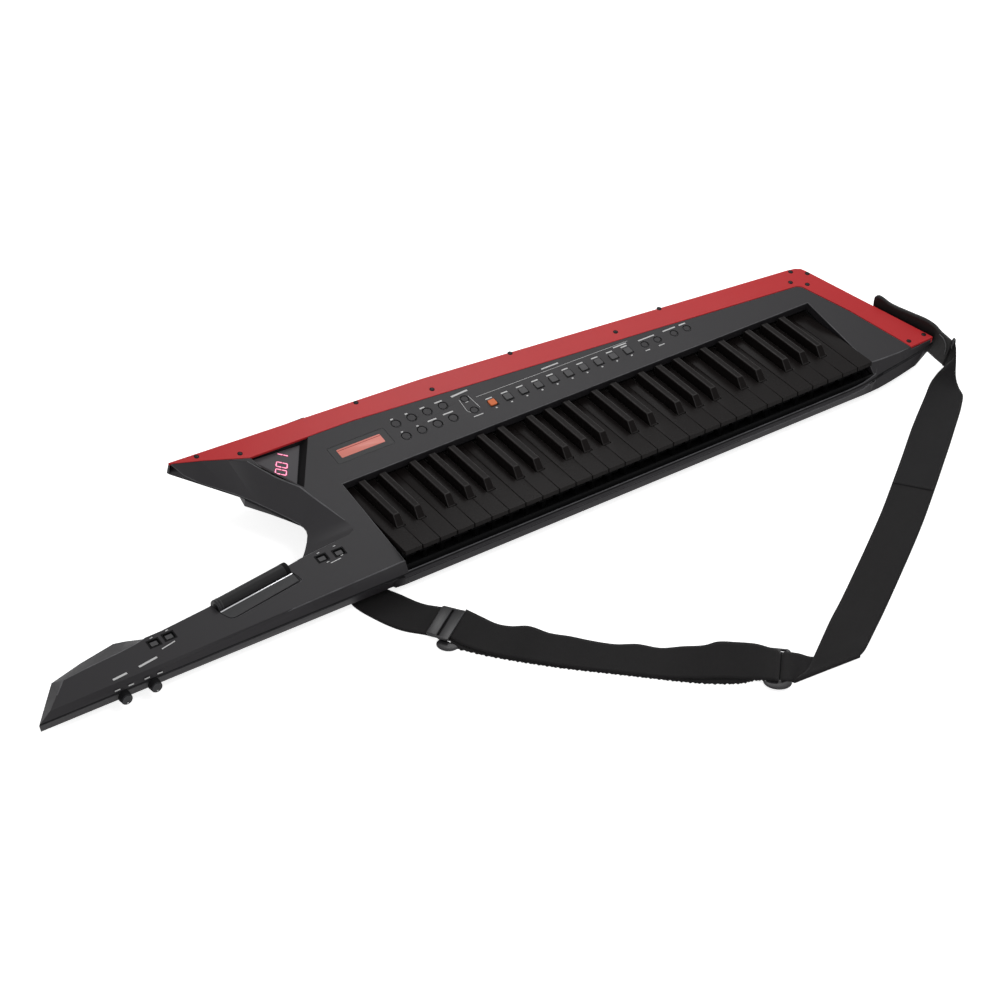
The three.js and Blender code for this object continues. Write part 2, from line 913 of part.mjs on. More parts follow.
// Upright cylinder
function post(x, y, low, high, radius, sides) {
  const geometry = new THREE.CylinderGeometry(radius, radius, high - low, sides);
  geometry.rotateX(Math.PI / 2);
  geometry.translate(x, y, (low + high) / 2);
  return solidOf(geometry);
}

// Skin over a row of rings with equal counts, closed by a cap at both ends
function skinOver(rings, cap) {
  const count = rings[0].length;
  const positions = [];
  rings.forEach((ring) => ring.forEach((point) => positions.push(point.x, point.y, point.z)));
  const index = [];
  for (let i = 0; i + 1 < rings.length; i += 1) {
    for (let j = 0; j < count; j += 1) {
      const next = (j + 1) % count;
      const a = i * count + j;
      const b = i * count + next;
      const c = a + count;
      const d = b + count;
      index.push(a, b, d, a, d, c);
    }
  }
  const last = (rings.length - 1) * count;
  cap.forEach(([a, b, c]) => {
    index.push(a, c, b);
    index.push(last + a, last + b, last + c);
  });
  const geometry = new THREE.BufferGeometry();
  geometry.setAttribute('position', new THREE.Float32BufferAttribute(positions, 3));
  geometry.setIndex(index);
  return facingOut(geometry);
}

// Turns a closed surface so that its faces point out
function facingOut(geometry) {
  const point = geometry.attributes.position;
  const [a, b, c] = [new THREE.Vector3(), new THREE.Vector3(), new THREE.Vector3()];
  const order = geometry.index.array;
  let volume = 0;
  for (let i = 0; i < order.length; i += 3) {
    a.fromBufferAttribute(point, order[i]);
    b.fromBufferAttribute(point, order[i + 1]);
    c.fromBufferAttribute(point, order[i + 2]);
    volume += a.dot(b.cross(c));
  }
  if (volume < 0) {
    for (let i = 0; i < order.length; i += 3) {
      [order[i + 1], order[i + 2]] = [order[i + 2], order[i + 1]];
    }
  }
  return geometry;
}

// Solid between level outlines with equal counts, given from the top down
function loft(outlines, levels) {
  const rings = outlines.map((outline, i) => (
    outline.map((point) => new THREE.Vector3(point.x, point.y, levels[i]))
  ));
  const cap = THREE.ShapeUtils.triangulateShape(outlines[0], []);
  const foot = THREE.ShapeUtils.triangulateShape(outlines[outlines.length - 1], []);
  const count = outlines[0].length;
  const positions = [];
  rings.forEach((ring) => ring.forEach((point) => positions.push(point.x, point.y, point.z)));
  const index = [];
  for (let i = 0; i + 1 < rings.length; i += 1) {
    for (let j = 0; j < count; j += 1) {
      const next = (j + 1) % count;
      const a = i * count + j;
      const b = i * count + next;
      index.push(a, a + count, b, b, a + count, b + count);
    }
  }
  const last = (rings.length - 1) * count;
  cap.forEach(([a, b, c]) => index.push(a, b, c));
  foot.forEach(([a, b, c]) => index.push(last + a, last + c, last + b));
  const geometry = new THREE.BufferGeometry();
  geometry.setAttribute('position', new THREE.Float32BufferAttribute(positions, 3));
  geometry.setIndex(index);
  return facingOut(geometry);
}

// Strip of webbing through stations of two edge points
function strip(stations, thick) {
  const edges = places(stations).map(([ax, ay, az, bx, by, bz]) => ({
    near: new THREE.Vector3(ax, ay, az),
    far: new THREE.Vector3(bx, by, bz),
  }));
  const middles = edges.map(({ near, far }) => near.clone().add(far).multiplyScalar(1 / 2));
  const rings = edges.map(({ near, far }, i) => {
    const before = middles[Math.max(i - 1, 0)];
    const after = middles[Math.min(i + 1, middles.length - 1)];
    const along = after.clone().sub(before).normalize();
    const up = along.cross(far.clone().sub(near)).normalize();
    const lift = up.multiplyScalar(thick / 2);
    return [near.clone().sub(lift), far.clone().sub(lift), far.clone().add(lift), near.clone().add(lift)];
  });
  return solidOf(skinOver(rings, [[0, 1, 2], [0, 2, 3]]));
}

// Line moved sideways, to the left of its run when the distance is positive
function shifted(points, distance) {
  return points.map((point, i) => {
    const before = points[Math.max(i - 1, 0)];
    const after = points[Math.min(i + 1, points.length - 1)];
    const first = point.clone().sub(before);
    const second = after.clone().sub(point);
    const run = first.normalize().add(second.normalize()).normalize();
    return new THREE.Vector2(point.x - run.y * distance, point.y + run.x * distance);
  });
}

// Line drawn out at both ends
function stretched(points, distance) {
  const [first, second] = points;
  const [before, last] = points.slice(-2);
  const start = first.clone().add(first.clone().sub(second).setLength(distance));
  const end = last.clone().add(last.clone().sub(before).setLength(distance));
  return [start, ...points.slice(1, -1), end];
}

function rounded(x0, x1, y0, y1, radius) {
  const shape = new THREE.Shape();
  shape.absarc(x1 - radius, y1 - radius, radius, 0, Math.PI / 2);
  shape.absarc(x0 + radius, y1 - radius, radius, Math.PI / 2, Math.PI);
  shape.absarc(x0 + radius, y0 + radius, radius, Math.PI, Math.PI * 3 / 2);
  shape.absarc(x1 - radius, y0 + radius, radius, Math.PI * 3 / 2, Math.PI * 2);
  return shape.extractPoints(cornerSteps).shape;
}

// Scene graph: body is level with the key tops, panel is tilted with the top face
const keytar = new THREE.Group();
const body = new THREE.Group();
const panel = new THREE.Group();
keytar.add(body);
body.add(panel);
panel.position.set(0, 0, -panelDrop);
panel.rotation.x = THREE.MathUtils.degToRad(panelTilt);
panel.updateMatrix();
const levelled = (geometry) => geometry.applyMatrix4(panel.matrix);

const looks = {
  housing: [0x2a292c, 0.55, 0],
  key: [0x151416, 0.5, 0],
  red: [0xb3161d, 0.38, 0.2],
  dark: [0x101012, 0.6, 0],
  smoked: [0x55525a, 0.25, 0],
  glass: [0x7c1410, 0.15, 0],
  cap: [0x3a393d, 0.6, 0],
  rubber: [0x18171a, 0.75, 0],
  metal: [0xb9bbc0, 0.3, 0.9],
  webbing: [0x121113, 0.9, 0],
  leather: [0x19181a, 0.7, 0],
  moulded: [0x1d1c1f, 0.35, 0],
};

function piece(name, solid, look, parent) {
  const [color, roughness, metalness] = looks[look];
  const material = new THREE.MeshStandardMaterial({ color, roughness, metalness });
  const mesh = new THREE.Mesh(geometryOf(solid), material);
  mesh.name = name;
  parent.add(mesh);
  return mesh;
}

// Upper housing: loft from the top face to the seam
const seamLevel = -shellDepth;
const lowerLevel = seamLevel - seamGap;
const slotX0 = -slotLeft;
const slotX1 = keyboardRun + slotRight;

function sill(grow, reach, high) {
  const rings = places(railShares).map(([x, back, up], i, all) => {
    const end = i === 0 ? -grow : (i === all.length - 1 ? grow : 0);
    const inner = -slotFront + back + grow;
    const outer = -railReach + back - reach;
    const low = -railDrop + up - grow;
    const top = high ? overrun : -sillTop + up / 2;
    return [
      new THREE.Vector3(x + end, outer, low),
      new THREE.Vector3(x + end, inner, low),
      new THREE.Vector3(x + end, inner, top),
      new THREE.Vector3(x + end, high ? outer : inner - sillFlat, top),
    ];
  });
  return solidOf(skinOver(rings, [[0, 1, 2], [0, 2, 3]]));
}

function slotOutline() {
  const right = slotX1;
  const front = -overrun;
  const points = [
    new THREE.Vector2(slotX0, front),
    new THREE.Vector2(right, front),
    new THREE.Vector2(right, slotBack),
    new THREE.Vector2(slotX0, slotBack),
  ];
  return points;
}

const ridge = places(ridgeShares);
const crook = places(crookShares);
const facetCutter = solidOf(skinOver(ridge.map(([x, y, depth], i) => {
  const [cx, cy, cd] = crook[i];
  const low = new THREE.Vector3(x, y, -depth);
  const foot = new THREE.Vector3(cx, cy, -cd).sub(low).multiplyScalar(facetReach).add(low);
  const up = new THREE.Vector3(foot.x, foot.y, overrun);
  return [low, foot, up, new THREE.Vector3(x, y, overrun)];
}), [[0, 1, 2], [0, 2, 3]]));

const edgeOuter = plane(edgeOuterShares);
const edgeInner = plane(edgeInnerShares);
const edgeOutline = [...edgeOuter, ...edgeInner];
const lipOutline = [...edgeOuter, ...shifted(edgeOuter, -edgeLip).reverse()];
const edgePanel = prism(edgeOutline, -edgeThick, edgeProud)
  .add(prism(lipOutline, -edgeLipDepth, -edgeThick / 2));
const edgeRun = stretched(edgeOuter, clearance);
const nearEnd = edgeInner[0];
const edgeRoom = [
  ...shifted(edgeRun, overrun),
  new THREE.Vector2(edgeRun[edgeRun.length - 1].x, nearEnd.y - overrun),
  new THREE.Vector2(nearEnd.x - clearance, nearEnd.y - overrun),
  ...shifted(edgeInner, clearance),
  edgeRun[0],
];
const lipRoom = [...shifted(edgeRun, overrun), ...shifted(edgeRun, -edgeLip - clearance).reverse()];
const edgeCutters = [
  prism(edgeRoom, -edgeThick - clearance, overrun),
  prism(lipRoom, -edgeLipDepth - clearance, overrun),
];

const recessTop = plane(recessTopShares);
const recessFloor = plane(recessFloorShares);
const recessOutlineTop = [recessTop[0], recessTop[1], recessTop[2]];
const recessCutter = solidOf(loft([recessOutlineTop, recessFloor], [0, -recessDepth]))
  .add(prism(recessOutlineTop, -weldDepth, overrun));
const middle = recessFloor.reduce((sum, point) => sum.add(point), new THREE.Vector2()).multiplyScalar(1 / 3);
const windowOutline = recessFloor.map((point) => point.clone().lerp(middle, windowInset));
const [screenLow, screenHigh] = places(screenShares);

const padRows = {
  menu: places(menuShares),
  mode: places(modeShares),
  program: places(programShares),
  player: places(playerShares),
};
const padRadius = { menu: menuRadius, mode: modeRadius, program: programHalf, player: playerRadius };
const matTop = -skin - matGap;

function reachOf(row, margin) {
  const xs = row.map(([x]) => x);
  const ys = row.map(([, y]) => y);
  const [left, right] = [Math.min(...xs), Math.max(...xs)];
  const [near, back] = [Math.min(...ys), Math.max(...ys)];
  return [left - margin, right + margin, near - margin, back + margin];
}

function capAt(kind, x, y, grow, low, high) {
  const half = padRadius[kind] + grow;
  if (kind === 'program') {
    return prism(rounded(x - half, x + half, y - half, y + half, programCorner + grow), low, high);
  }
  return post(x, y, low, high, half, capSides);
}

const padCutters = [];
const pads = {};
Object.entries(padRows).forEach(([kind, row]) => {
  const [x0, x1, y0, y1] = reachOf(row, matMargin);
  const mat = block(x0, x1, y0, y1, matTop - matThick, matTop);
  const high = kind === 'program' ? capProud : -capSink;
  pads[kind] = join([mat, ...row.map(([x, y]) => capAt(kind, x, y, 0, matTop - matThick / 2, high))]);
  const [u0, u1, v0, v1] = reachOf(row, matMargin + padMargin);
  padCutters.push(block(u0, u1, v0, v1, -overrun, -skin));
  row.forEach(([x, y]) => padCutters.push(capAt(kind, x, y, capGap, -overrun, overrun)));
});

const neckCaps = places(neckCapShares);
const neckWells = neckCaps.flatMap(([x, y]) => [
  prism(
    rounded(x - neckWellLong, x + neckWellLong, y - neckWellHalf, y + neckWellHalf, neckWellCorner),
    -neckWellDepth,
    overrun,
  ),
  block(
    x - neckCapLong - clearance,
    x + neckCapLong + clearance,
    y - neckCapHalf - clearance,
    y + neckCapHalf + clearance,
    -neckButtonSocket,
    0,
  ),
]);

const ribbonPocket = prism(plane(ribbonPocketShares), -ribbonThick - clearance, overrun);
const ribbonPlate = prism(plane(ribbonShares), -ribbonThick, 0);

// The modulation bar turns about its own axis, beside the ribbon plate
const [barStart, barEnd] = places(barShares).map(([x, y]) => new THREE.Vector3(x, y, 0));
const barRun = barEnd.clone().sub(barStart);
const barLength = barRun.length();
const barCentre = barStart.clone().add(barEnd).multiplyScalar(1 / 2);
const barSide = new THREE.Vector3(-barRun.y, barRun.x, 0).normalize().multiplyScalar(barSet);
barCentre.add(barSide).setZ(-barDrop);
const barTurn = Math.atan2(barRun.y, barRun.x);

function barSolid(radius, length) {
  const geometry = new THREE.CylinderGeometry(radius, radius, length, barSides);
  geometry.rotateZ(Math.PI / 2);
  return solidOf(geometry);
}

const barRoomGeometry = new THREE.CylinderGeometry(barPocket, barPocket, barLength + 2 * barEndGap, barSides);
barRoomGeometry.rotateZ(Math.PI / 2);
const barRoomOpen = new THREE.BoxGeometry(barLength + 2 * barEndGap, barPocket * 2, barPocket * 2);
barRoomOpen.translate(0, 0, barPocket);
const barRoomOut = new THREE.BoxGeometry(barLength + 2 * barEndGap, barPocket * 2, barPocket * 2);
barRoomOut.translate(0, barPocket, 0);
const barRooms = [barRoomGeometry, barRoomOpen, barRoomOut].map((geometry) => {
  geometry.rotateZ(barTurn);
  geometry.translate(barCentre.x, barCentre.y, barCentre.z);
  return geometry;
});

const upperLoft = solidOf(loft([plane(topShares), plane(seamShares)], [0, seamLevel]));
const upperSlot = prism(slotOutline(), -overrun, overrun);
const upper = cut(upperLoft, [
  upperSlot,
  facetCutter,
  ...edgeCutters,
  recessCutter,
  prism(
    rounded(
      screenLow[0] - clearance,
      screenHigh[0] + clearance,
      screenLow[1] - clearance,
      screenHigh[1] + clearance,
      screenCorner + clearance,
    ),
    -screenPocket,
    overrun,
  ),
  ...padCutters,
  ...neckWells,
  ribbonPocket,
  ...barRooms.map((geometry) => solidOf(geometry)),
]).add(sill(0, 0, false));
piece('upper_case', upper, 'housing', panel);
piece('edge_panel', edgePanel, 'red', panel);
const windowLow = clearance - recessDepth;
piece('number_window', prism(windowOutline, windowLow, windowLow + windowThick), 'smoked', panel);
piece(
  'screen_lens',
  prism(
    rounded(screenLow[0], screenHigh[0], screenLow[1], screenHigh[1], screenCorner),
    clearance - screenPocket,
    clearance - screenPocket + screenThick,
  ),
  'glass',
  panel,
);
piece('menu_keypad', pads.menu, 'cap', panel);
piece('mode_keypad', pads.mode, 'cap', panel);
piece('program_keypad', pads.program, 'cap', panel);
piece('player_keypad', pads.player, 'cap', panel);
const neckCapNames = ['octave_down_button', 'octave_up_button', 'hold_button', 'shift_button'];
neckCaps.forEach(([x, y], i) => {
  const outline = rounded(-neckCapLong, neckCapLong, -neckCapHalf, neckCapHalf, neckCapCorner);
  const solid = prism(outline, -neckCapDrop, -neckCapLow);
  const mesh = piece(neckCapNames[i], solid, 'cap', panel);
  mesh.position.set(x, y, 0);
});
piece('ribbon_plate', ribbonPlate, 'moulded', panel);
const modulation = piece('modulation_bar', barSolid(barRadius, barLength), 'rubber', panel);
modulation.position.copy(barCentre);
modulation.rotation.z = barTurn;

// Lower housing: hull, neck and wing, levelled into the body's frame
const depths = [lowerLevel, -wallDepth, -hullDepth];
const hullGeometry = loft([plane(hullSeamShares), plane(hullWallShares), plane(hullKeelShares)], depths);
const neckDepths = [lowerLevel, -wallDepth, -neckDepth];
const neckGeometry = loft([plane(neckSeamShares), plane(neckWallShares), plane(neckKeelShares)], neckDepths);
const wingGeometry = loft([plane(wingShares), plane(wingShares)], [lowerLevel, -neckDepth]);
const far = octave * farShare;
const keepAbove = (level) => block(-far, far, -far, far, -level, far);
const hull = solidOf(levelled(hullGeometry)).intersect(keepAbove(bellyLevel));
const neck = solidOf(levelled(neckGeometry)).intersect(keepAbove(neckLevel));
const wing = solidOf(levelled(wingGeometry)).intersect(keepAbove(wingLevel));
const floor = -bellyLevel - footDrop;
const feet = places(footShares).map(([x, y]) => (
  post(x, y, floor, -bellyLevel + footDrop, footRadius, footSides)
));
const [batteryLow, batteryHigh] = places(batteryShares);
const batteryRoom = rounded(
  batteryLow[0] - clearance,
  batteryHigh[0] + clearance,
  batteryLow[1] - clearance,
  batteryHigh[1] + clearance,
  screenCorner + clearance,
);
const sillRoom = solidOf(levelled(geometryOf(sill(clearance, overrun, true))));
const barRoomBelow = barRooms.map((geometry) => solidOf(levelled(geometry.clone())));
const knobSockets = places(knobShares).map(([x, z]) => {
  const geometry = new THREE.CylinderGeometry(knobSocket, knobSocket, knobSocketDepth * 2, knobSides);
  geometry.translate(x, -knobFront, z);
  return solidOf(geometry);
});
const lower = cut(join([hull, neck, wing, ...feet]), [
  sillRoom,
  block(slotX0, slotX1, -wellFront, wellBack, -wellFloor, wellRoof),
  block(slotX0, slotX1, -wellLip, 0, -wellLipTop, wellRoof),
  prism(batteryRoom, -far, -bellyLevel + batteryPocket),
  ...barRoomBelow,
  ...knobSockets,
]);
piece('lower_case', lower, 'housing', body);
piece(
  'battery_cover',
  prism(
    rounded(batteryLow[0], batteryHigh[0], batteryLow[1], batteryHigh[1], screenCorner),
    -bellyLevel + batteryPocket - clearance - batteryPlate,
    -bellyLevel + batteryPocket - clearance,
  ),
  'housing',
  body,
);

// Chassis: plate, front wall, stop and pivot in one section, with a guide post under each white key
const section = [
  [-chassisFront, -chassisLow],
  [chassisBack, -chassisLow],
  [chassisBack, -chassisLow + chassisPlate],
  [pivotY + pivotHalf, -chassisLow + chassisPlate],
  [pivotY + pivotFlat, -pivotTop],
  [pivotY - pivotFlat, -pivotTop],
  [pivotY - pivotHalf, -chassisLow + chassisPlate],
  [stopBack, -chassisLow + chassisPlate],
  [stopBack, -stopTop],
  [stopFront, -stopTop],
  [stopFront, -chassisLow + chassisPlate],
  [-chassisFront + chassisWall, -chassisLow + chassisPlate],
  [-chassisFront + chassisWall, -chassisWallTop],
  [-chassisFront, -chassisWallTop],
].map(([y, z]) => new THREE.Vector2(y, z));
const guides = Array.from({ length: whiteKeys }, (_, i) => {
  const x = (i + 1 / 2) * whitePitch;
  const half = guideWidth / 2;
  return block(x - half, x + half, guideFront, guideBack, -chassisLow + chassisPlate / 2, -guideTop);
});
const chassis = join([bar(section, slotX0 + clearance, slotX1 - clearance), ...guides]).subtract(sillRoom);
piece('key_chassis', chassis, 'dark', body);

// White keys: cover with a lip, a hollow skirt below, and a channelled tail between the sharps
const sharpCentres = (from) => sharpCentreShares.map((share) => (share + from) * octave);

function whiteKey(i) {
  const x0 = i * whitePitch + whiteGap / 2;
  const x1 = (i + 1) * whitePitch - whiteGap / 2;
  const reach = sharpWidth / 2 + sharpGap;
  const from = Math.floor(i / keysPerOctave);
  const inPlay = i === whiteKeys - 1 ? [] : sharpCentres(from);
  const left = Math.max(x0, ...inPlay.filter((x) => x < (x0 + x1) / 2).map((x) => x + reach));
  const right = Math.min(x1, ...inPlay.filter((x) => x > (x0 + x1) / 2).map((x) => x - reach));
  const cover = prism([
    new THREE.Vector2(x0, whiteEdge),
    new THREE.Vector2(x0 + whiteEdge, 0),
    new THREE.Vector2(x1 - whiteEdge, 0),
    new THREE.Vector2(x1, whiteEdge),
    new THREE.Vector2(x1, tailStart),
    new THREE.Vector2(right, tailStart),
    new THREE.Vector2(right, whiteLength),
    new THREE.Vector2(left, whiteLength),
    new THREE.Vector2(left, tailStart),
    new THREE.Vector2(x0, tailStart),
  ], -whiteLip, 0);
  const side = skirtSide + skirtWall;
  return cut(
    cover.add(block(
      x0 + skirtSide,
      x1 - skirtSide,
      skirtFront,
      skirtBack,
      -skirtDepth,
      -whiteLip + whiteEdge,
    )),
    [
      block(x0 + side, x1 - side, skirtFront + skirtWall, skirtBack - skirtWall, -overrun, -whiteCover),
      block(left + tailWall, right - tailWall, tailStart, whiteLength - tailFill * 2, -overrun, -whiteCover),
    ],
  );
}

const notes = ['c', 'd', 'e', 'f', 'g', 'a', 'b'];
const keyboard = new THREE.Group();
body.add(keyboard);
for (let i = 0; i < whiteKeys; i += 1) {
  const name = `key_${notes[i % keysPerOctave]}${Math.floor(i / keysPerOctave) + 1}`;
  piece(name, whiteKey(i), 'key', keyboard);
}

// Sharps: the five of an octave rise from tails on one rear rail
function sharp(x) {
  const half = sharpWidth / 2;
  const top = sharpTopWidth / 2;
  const ring = (z, front, back, halfWidth) => [
    new THREE.Vector3(x - halfWidth, front, z),
    new THREE.Vector3(x + halfWidth, front, z),
    new THREE.Vector3(x + halfWidth, back, z),
    new THREE.Vector3(x - halfWidth, back, z),
  ];
  const rings = [
    ring(sharpRise, sharpBrow, sharpBack - sharpCrown, top - sharpRound),
    ring(sharpRise - sharpRound, sharpBrow - sharpRound, sharpBack - sharpRound, top),
    ring(0, sharpFoot, sharpBack, half),
    ring(-sharpRoot, sharpFoot, sharpBack, half),
  ];
  const tail = block(
    x - sharpTail / 2,
    x + sharpTail / 2,
    sharpBack - sharpTail,
    sharpRailBack,
    -sharpRoot,
    -sharpTailTop,
  );
  return solidOf(skinOver(rings, [[0, 1, 2], [0, 2, 3]])).add(tail);
}

for (let i = 0; i < Math.floor(whiteKeys / keysPerOctave); i += 1) {
  const centres = sharpCentres(i);
  const rail = block(
    centres[0] - sharpTail,
    centres[centres.length - 1] + sharpTail,
    sharpRailFront,
    sharpRailBack,
    -sharpRailLow,
    -sharpRailHigh,
  );
  piece(`sharps_${i + 1}`, join([rail, ...centres.map(sharp)]), 'key', keyboard);
}

// Knobs on the front of the neck
const knobNames = ['volume_knob', 'control_knob'];
const knobProfile = [
  [0, -knobShaftLength],
  [knobShaft, -knobShaftLength],
  [knobShaft, 0],
  [knobFoot, 0],
  [knobRadius, knobLength - knobEdge],
  [knobRadius - knobEdge, knobLength],
  [0, knobLength],
].map(([r, h]) => new THREE.Vector2(r, h));
const knobs = new THREE.Group();
body.add(knobs);
places(knobShares).forEach(([x, z], i) => {
  const dial = solidOf(new THREE.LatheGeometry(knobProfile, knobSides));
  const pointerGeometry = new THREE.BoxGeometry(pointerWide, pointerDeep, pointerLong);
  pointerGeometry.translate(0, knobLength, knobRadius - pointerLong / 2 - knobEdge);
  const mesh = piece(knobNames[i], dial.subtract(solidOf(pointerGeometry)), 'dark', knobs);
  mesh.position.set(x, -knobFront, z);
  mesh.rotation.x = Math.PI;
});

// Strap pins: a flange on the wall, a neck and a head
const pinProfile = [
  [0, 0],
  [pinBase, 0],
  [pinBase, pinFlange],
  [pinNeck, pinFlange],
  [pinNeck, pinLength - pinCap],
  [pinHead, pinLength - pinCap],
  [pinHead, pinLength - pinCap / 2],
  [pinHead - pinCap / 2, pinLength],
  [0, pinLength],
].map(([r, h]) => new THREE.Vector2(r, h));
const pinAngles = [0, rightWallAngle];
const pinNames = ['strap_pin_rear', 'strap_pin_right'];
const pins = places(pinShares).map(([x, y, z], i) => {
  const geometry = new THREE.LatheGeometry(pinProfile, pinSides);
  const mesh = piece(pinNames[i], solidOf(geometry), 'metal', panel);
  mesh.position.set(x, y, z);
  mesh.rotation.z = THREE.MathUtils.degToRad(pinAngles[i]);
  mesh.updateMatrix();
  return mesh;
});

function pinHole(mesh, radius) {
  const geometry = new THREE.CylinderGeometry(radius, radius, overrun * 2, pinSides);
  geometry.applyMatrix4(mesh.matrix);
  return solidOf(levelled(geometry));
}

// Strap
const strap = new THREE.Group();
body.add(strap);
piece('strap_tail', strip(tailShares, webbing).subtract(pinHole(pins[0], tabHole)), 'webbing', strap);
piece('strap_webbing', strip(webShares, webbingPair).add(strip(foldShares, webbing)), 'webbing', strap);
piece('strap_upper', strip(strapShares, webbing), 'webbing', strap);
piece('strap_end', strip(tabShares, tabThick).subtract(pinHole(pins[1], tabHole)), 'leather', strap);

// Ring and slider: a frame with two slots and a post between them
function buckle(bow) {
  const long = ringLong / 2;
  const wide = ringWide / 2;
  const slot = (from, to) => block(from, to, ringSide - wide, wide - ringSide, -overrun, overrun);
  const outline = [
    new THREE.Vector2(-long, wide - ringCorner),
    new THREE.Vector2(-long, ringCorner - wide),
    new THREE.Vector2(ringCorner - long, -wide),
    new THREE.Vector2(-long / 2, -wide - bow),
    new THREE.Vector2(long / 2, -wide - bow),
    new THREE.Vector2(long - ringCorner, -wide),
    new THREE.Vector2(long, ringCorner - wide),
    new THREE.Vector2(long, wide - ringCorner),
    new THREE.Vector2(long - ringCorner, wide),
    new THREE.Vector2(ringCorner - long, wide),
  ];
  return cut(prism(outline, -ringThick / 2, ringThick / 2), [
    slot(ringBar - long, -ringPost / 2),
    slot(ringPost / 2, long - ringBar),
  ]);
}
const [ringPlace, sliderPlace] = places(buckleShares);
const ring = piece('strap_ring', buckle(0), 'moulded', strap);
ring.position.set(ringPlace[0], ringPlace[1], -ringLevel);
ring.rotation.z = THREE.MathUtils.degToRad(ringHeading);
const slider = piece('strap_slider', buckle(ringBow), 'moulded', strap);
slider.position.set(sliderPlace[0], sliderPlace[1], -sliderLevel);
slider.rotation.z = THREE.MathUtils.degToRad(sliderHeading);

// Origin at the middle of the footprint, on the surface that the feet stand on
keytar.updateMatrixWorld(true);
const bounds = new THREE.Box3().setFromObject(keytar);
const centre = bounds.getCenter(new THREE.Vector3());
body.position.set(-centre.x, -centre.y, -bounds.min.z);
keytar.updateMatrixWorld(true);

export default keytar;
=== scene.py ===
# %% [markdown]
# # Dressing a shoulder keyboard
# The solids of this keyboard come from CAD, so every size and place is settled before Blender starts.
# This lesson adds what the eye looks for: softened edges, moulded grain, a webbing strap that folds on
# the floor, screws, lit digits and printed marks. The first cell loads the solids and keeps their box.
# %% Load the solids
import bpy
import bmesh
import json
from math import atan2, cos, hypot, pi, radians, sin
from mathutils import Matrix, Vector
from mathutils.bvhtree import BVHTree
from mathutils.geometry import interpolate_bezier

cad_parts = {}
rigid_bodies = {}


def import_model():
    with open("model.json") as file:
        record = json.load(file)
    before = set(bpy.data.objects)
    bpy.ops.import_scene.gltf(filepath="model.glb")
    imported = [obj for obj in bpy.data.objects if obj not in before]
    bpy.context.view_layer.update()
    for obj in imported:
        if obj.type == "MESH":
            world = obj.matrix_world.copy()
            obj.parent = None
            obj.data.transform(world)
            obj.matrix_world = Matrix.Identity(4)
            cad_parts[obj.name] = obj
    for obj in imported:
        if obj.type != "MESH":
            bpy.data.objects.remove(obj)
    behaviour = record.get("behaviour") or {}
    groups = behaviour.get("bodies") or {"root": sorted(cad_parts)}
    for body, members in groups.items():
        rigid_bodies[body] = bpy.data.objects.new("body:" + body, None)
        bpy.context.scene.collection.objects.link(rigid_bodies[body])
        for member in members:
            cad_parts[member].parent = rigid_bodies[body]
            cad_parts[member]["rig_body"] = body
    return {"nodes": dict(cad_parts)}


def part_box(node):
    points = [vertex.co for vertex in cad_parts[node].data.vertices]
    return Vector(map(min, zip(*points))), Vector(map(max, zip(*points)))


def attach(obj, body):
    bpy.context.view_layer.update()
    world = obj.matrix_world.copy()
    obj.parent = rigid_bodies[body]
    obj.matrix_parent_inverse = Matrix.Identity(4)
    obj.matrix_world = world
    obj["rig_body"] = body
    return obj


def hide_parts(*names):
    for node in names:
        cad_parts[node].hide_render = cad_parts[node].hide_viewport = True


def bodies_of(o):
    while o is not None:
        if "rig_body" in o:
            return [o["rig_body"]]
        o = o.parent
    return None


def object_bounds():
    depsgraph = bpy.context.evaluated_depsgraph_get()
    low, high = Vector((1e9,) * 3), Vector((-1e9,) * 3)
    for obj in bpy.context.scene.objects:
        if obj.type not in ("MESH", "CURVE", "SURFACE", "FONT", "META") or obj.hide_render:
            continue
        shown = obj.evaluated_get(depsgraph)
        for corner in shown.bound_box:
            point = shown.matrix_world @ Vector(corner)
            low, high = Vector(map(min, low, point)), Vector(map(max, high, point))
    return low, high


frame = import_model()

scene = bpy.context.scene
cad_box = [list(corner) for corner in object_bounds()]
print("solids:", len(frame["nodes"]), "box:", [round(b - a, 3) for a, b in zip(*cad_box)])

# %% [markdown]
# ## Two rulers
# A maker measures this instrument from its keys. The first ruler starts at the left front corner of the
# lowest key, on top of it: along the keys, away from the player, and up. The top face leans back by ten
# degrees, so a second ruler lies on that face. Both give a point in the metres that Blender works in.
# %% Rulers along the keys and on the top face
mm = 0.001
low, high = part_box("key_c1")
key_gap = 1.0
first_key = Vector((low[0] - key_gap / 2 * mm, low[1], high[2]))
lean = radians(10.064)
face_drop = 8.805


def at(x, y, z):
    return first_key + Vector((x, y, z)) * mm


def on_face(x, v, rise=0.0):
    return at(x, v * cos(lean) - rise * sin(lean), v * sin(lean) + rise * cos(lean) - face_drop)


def face_place(x, v, rise=0.0, turn=0.0):
    tip = Matrix.Rotation(lean, 4, "X") @ Matrix.Rotation(turn, 4, "Z")
    return Matrix.Translation(on_face(x, v, rise)) @ tip


def face_level(point):
    step = (point - first_key) / mm
    return (step.z + face_drop) * cos(lean) - step.y * sin(lean)


print("first key at", [round(c, 4) for c in first_key])

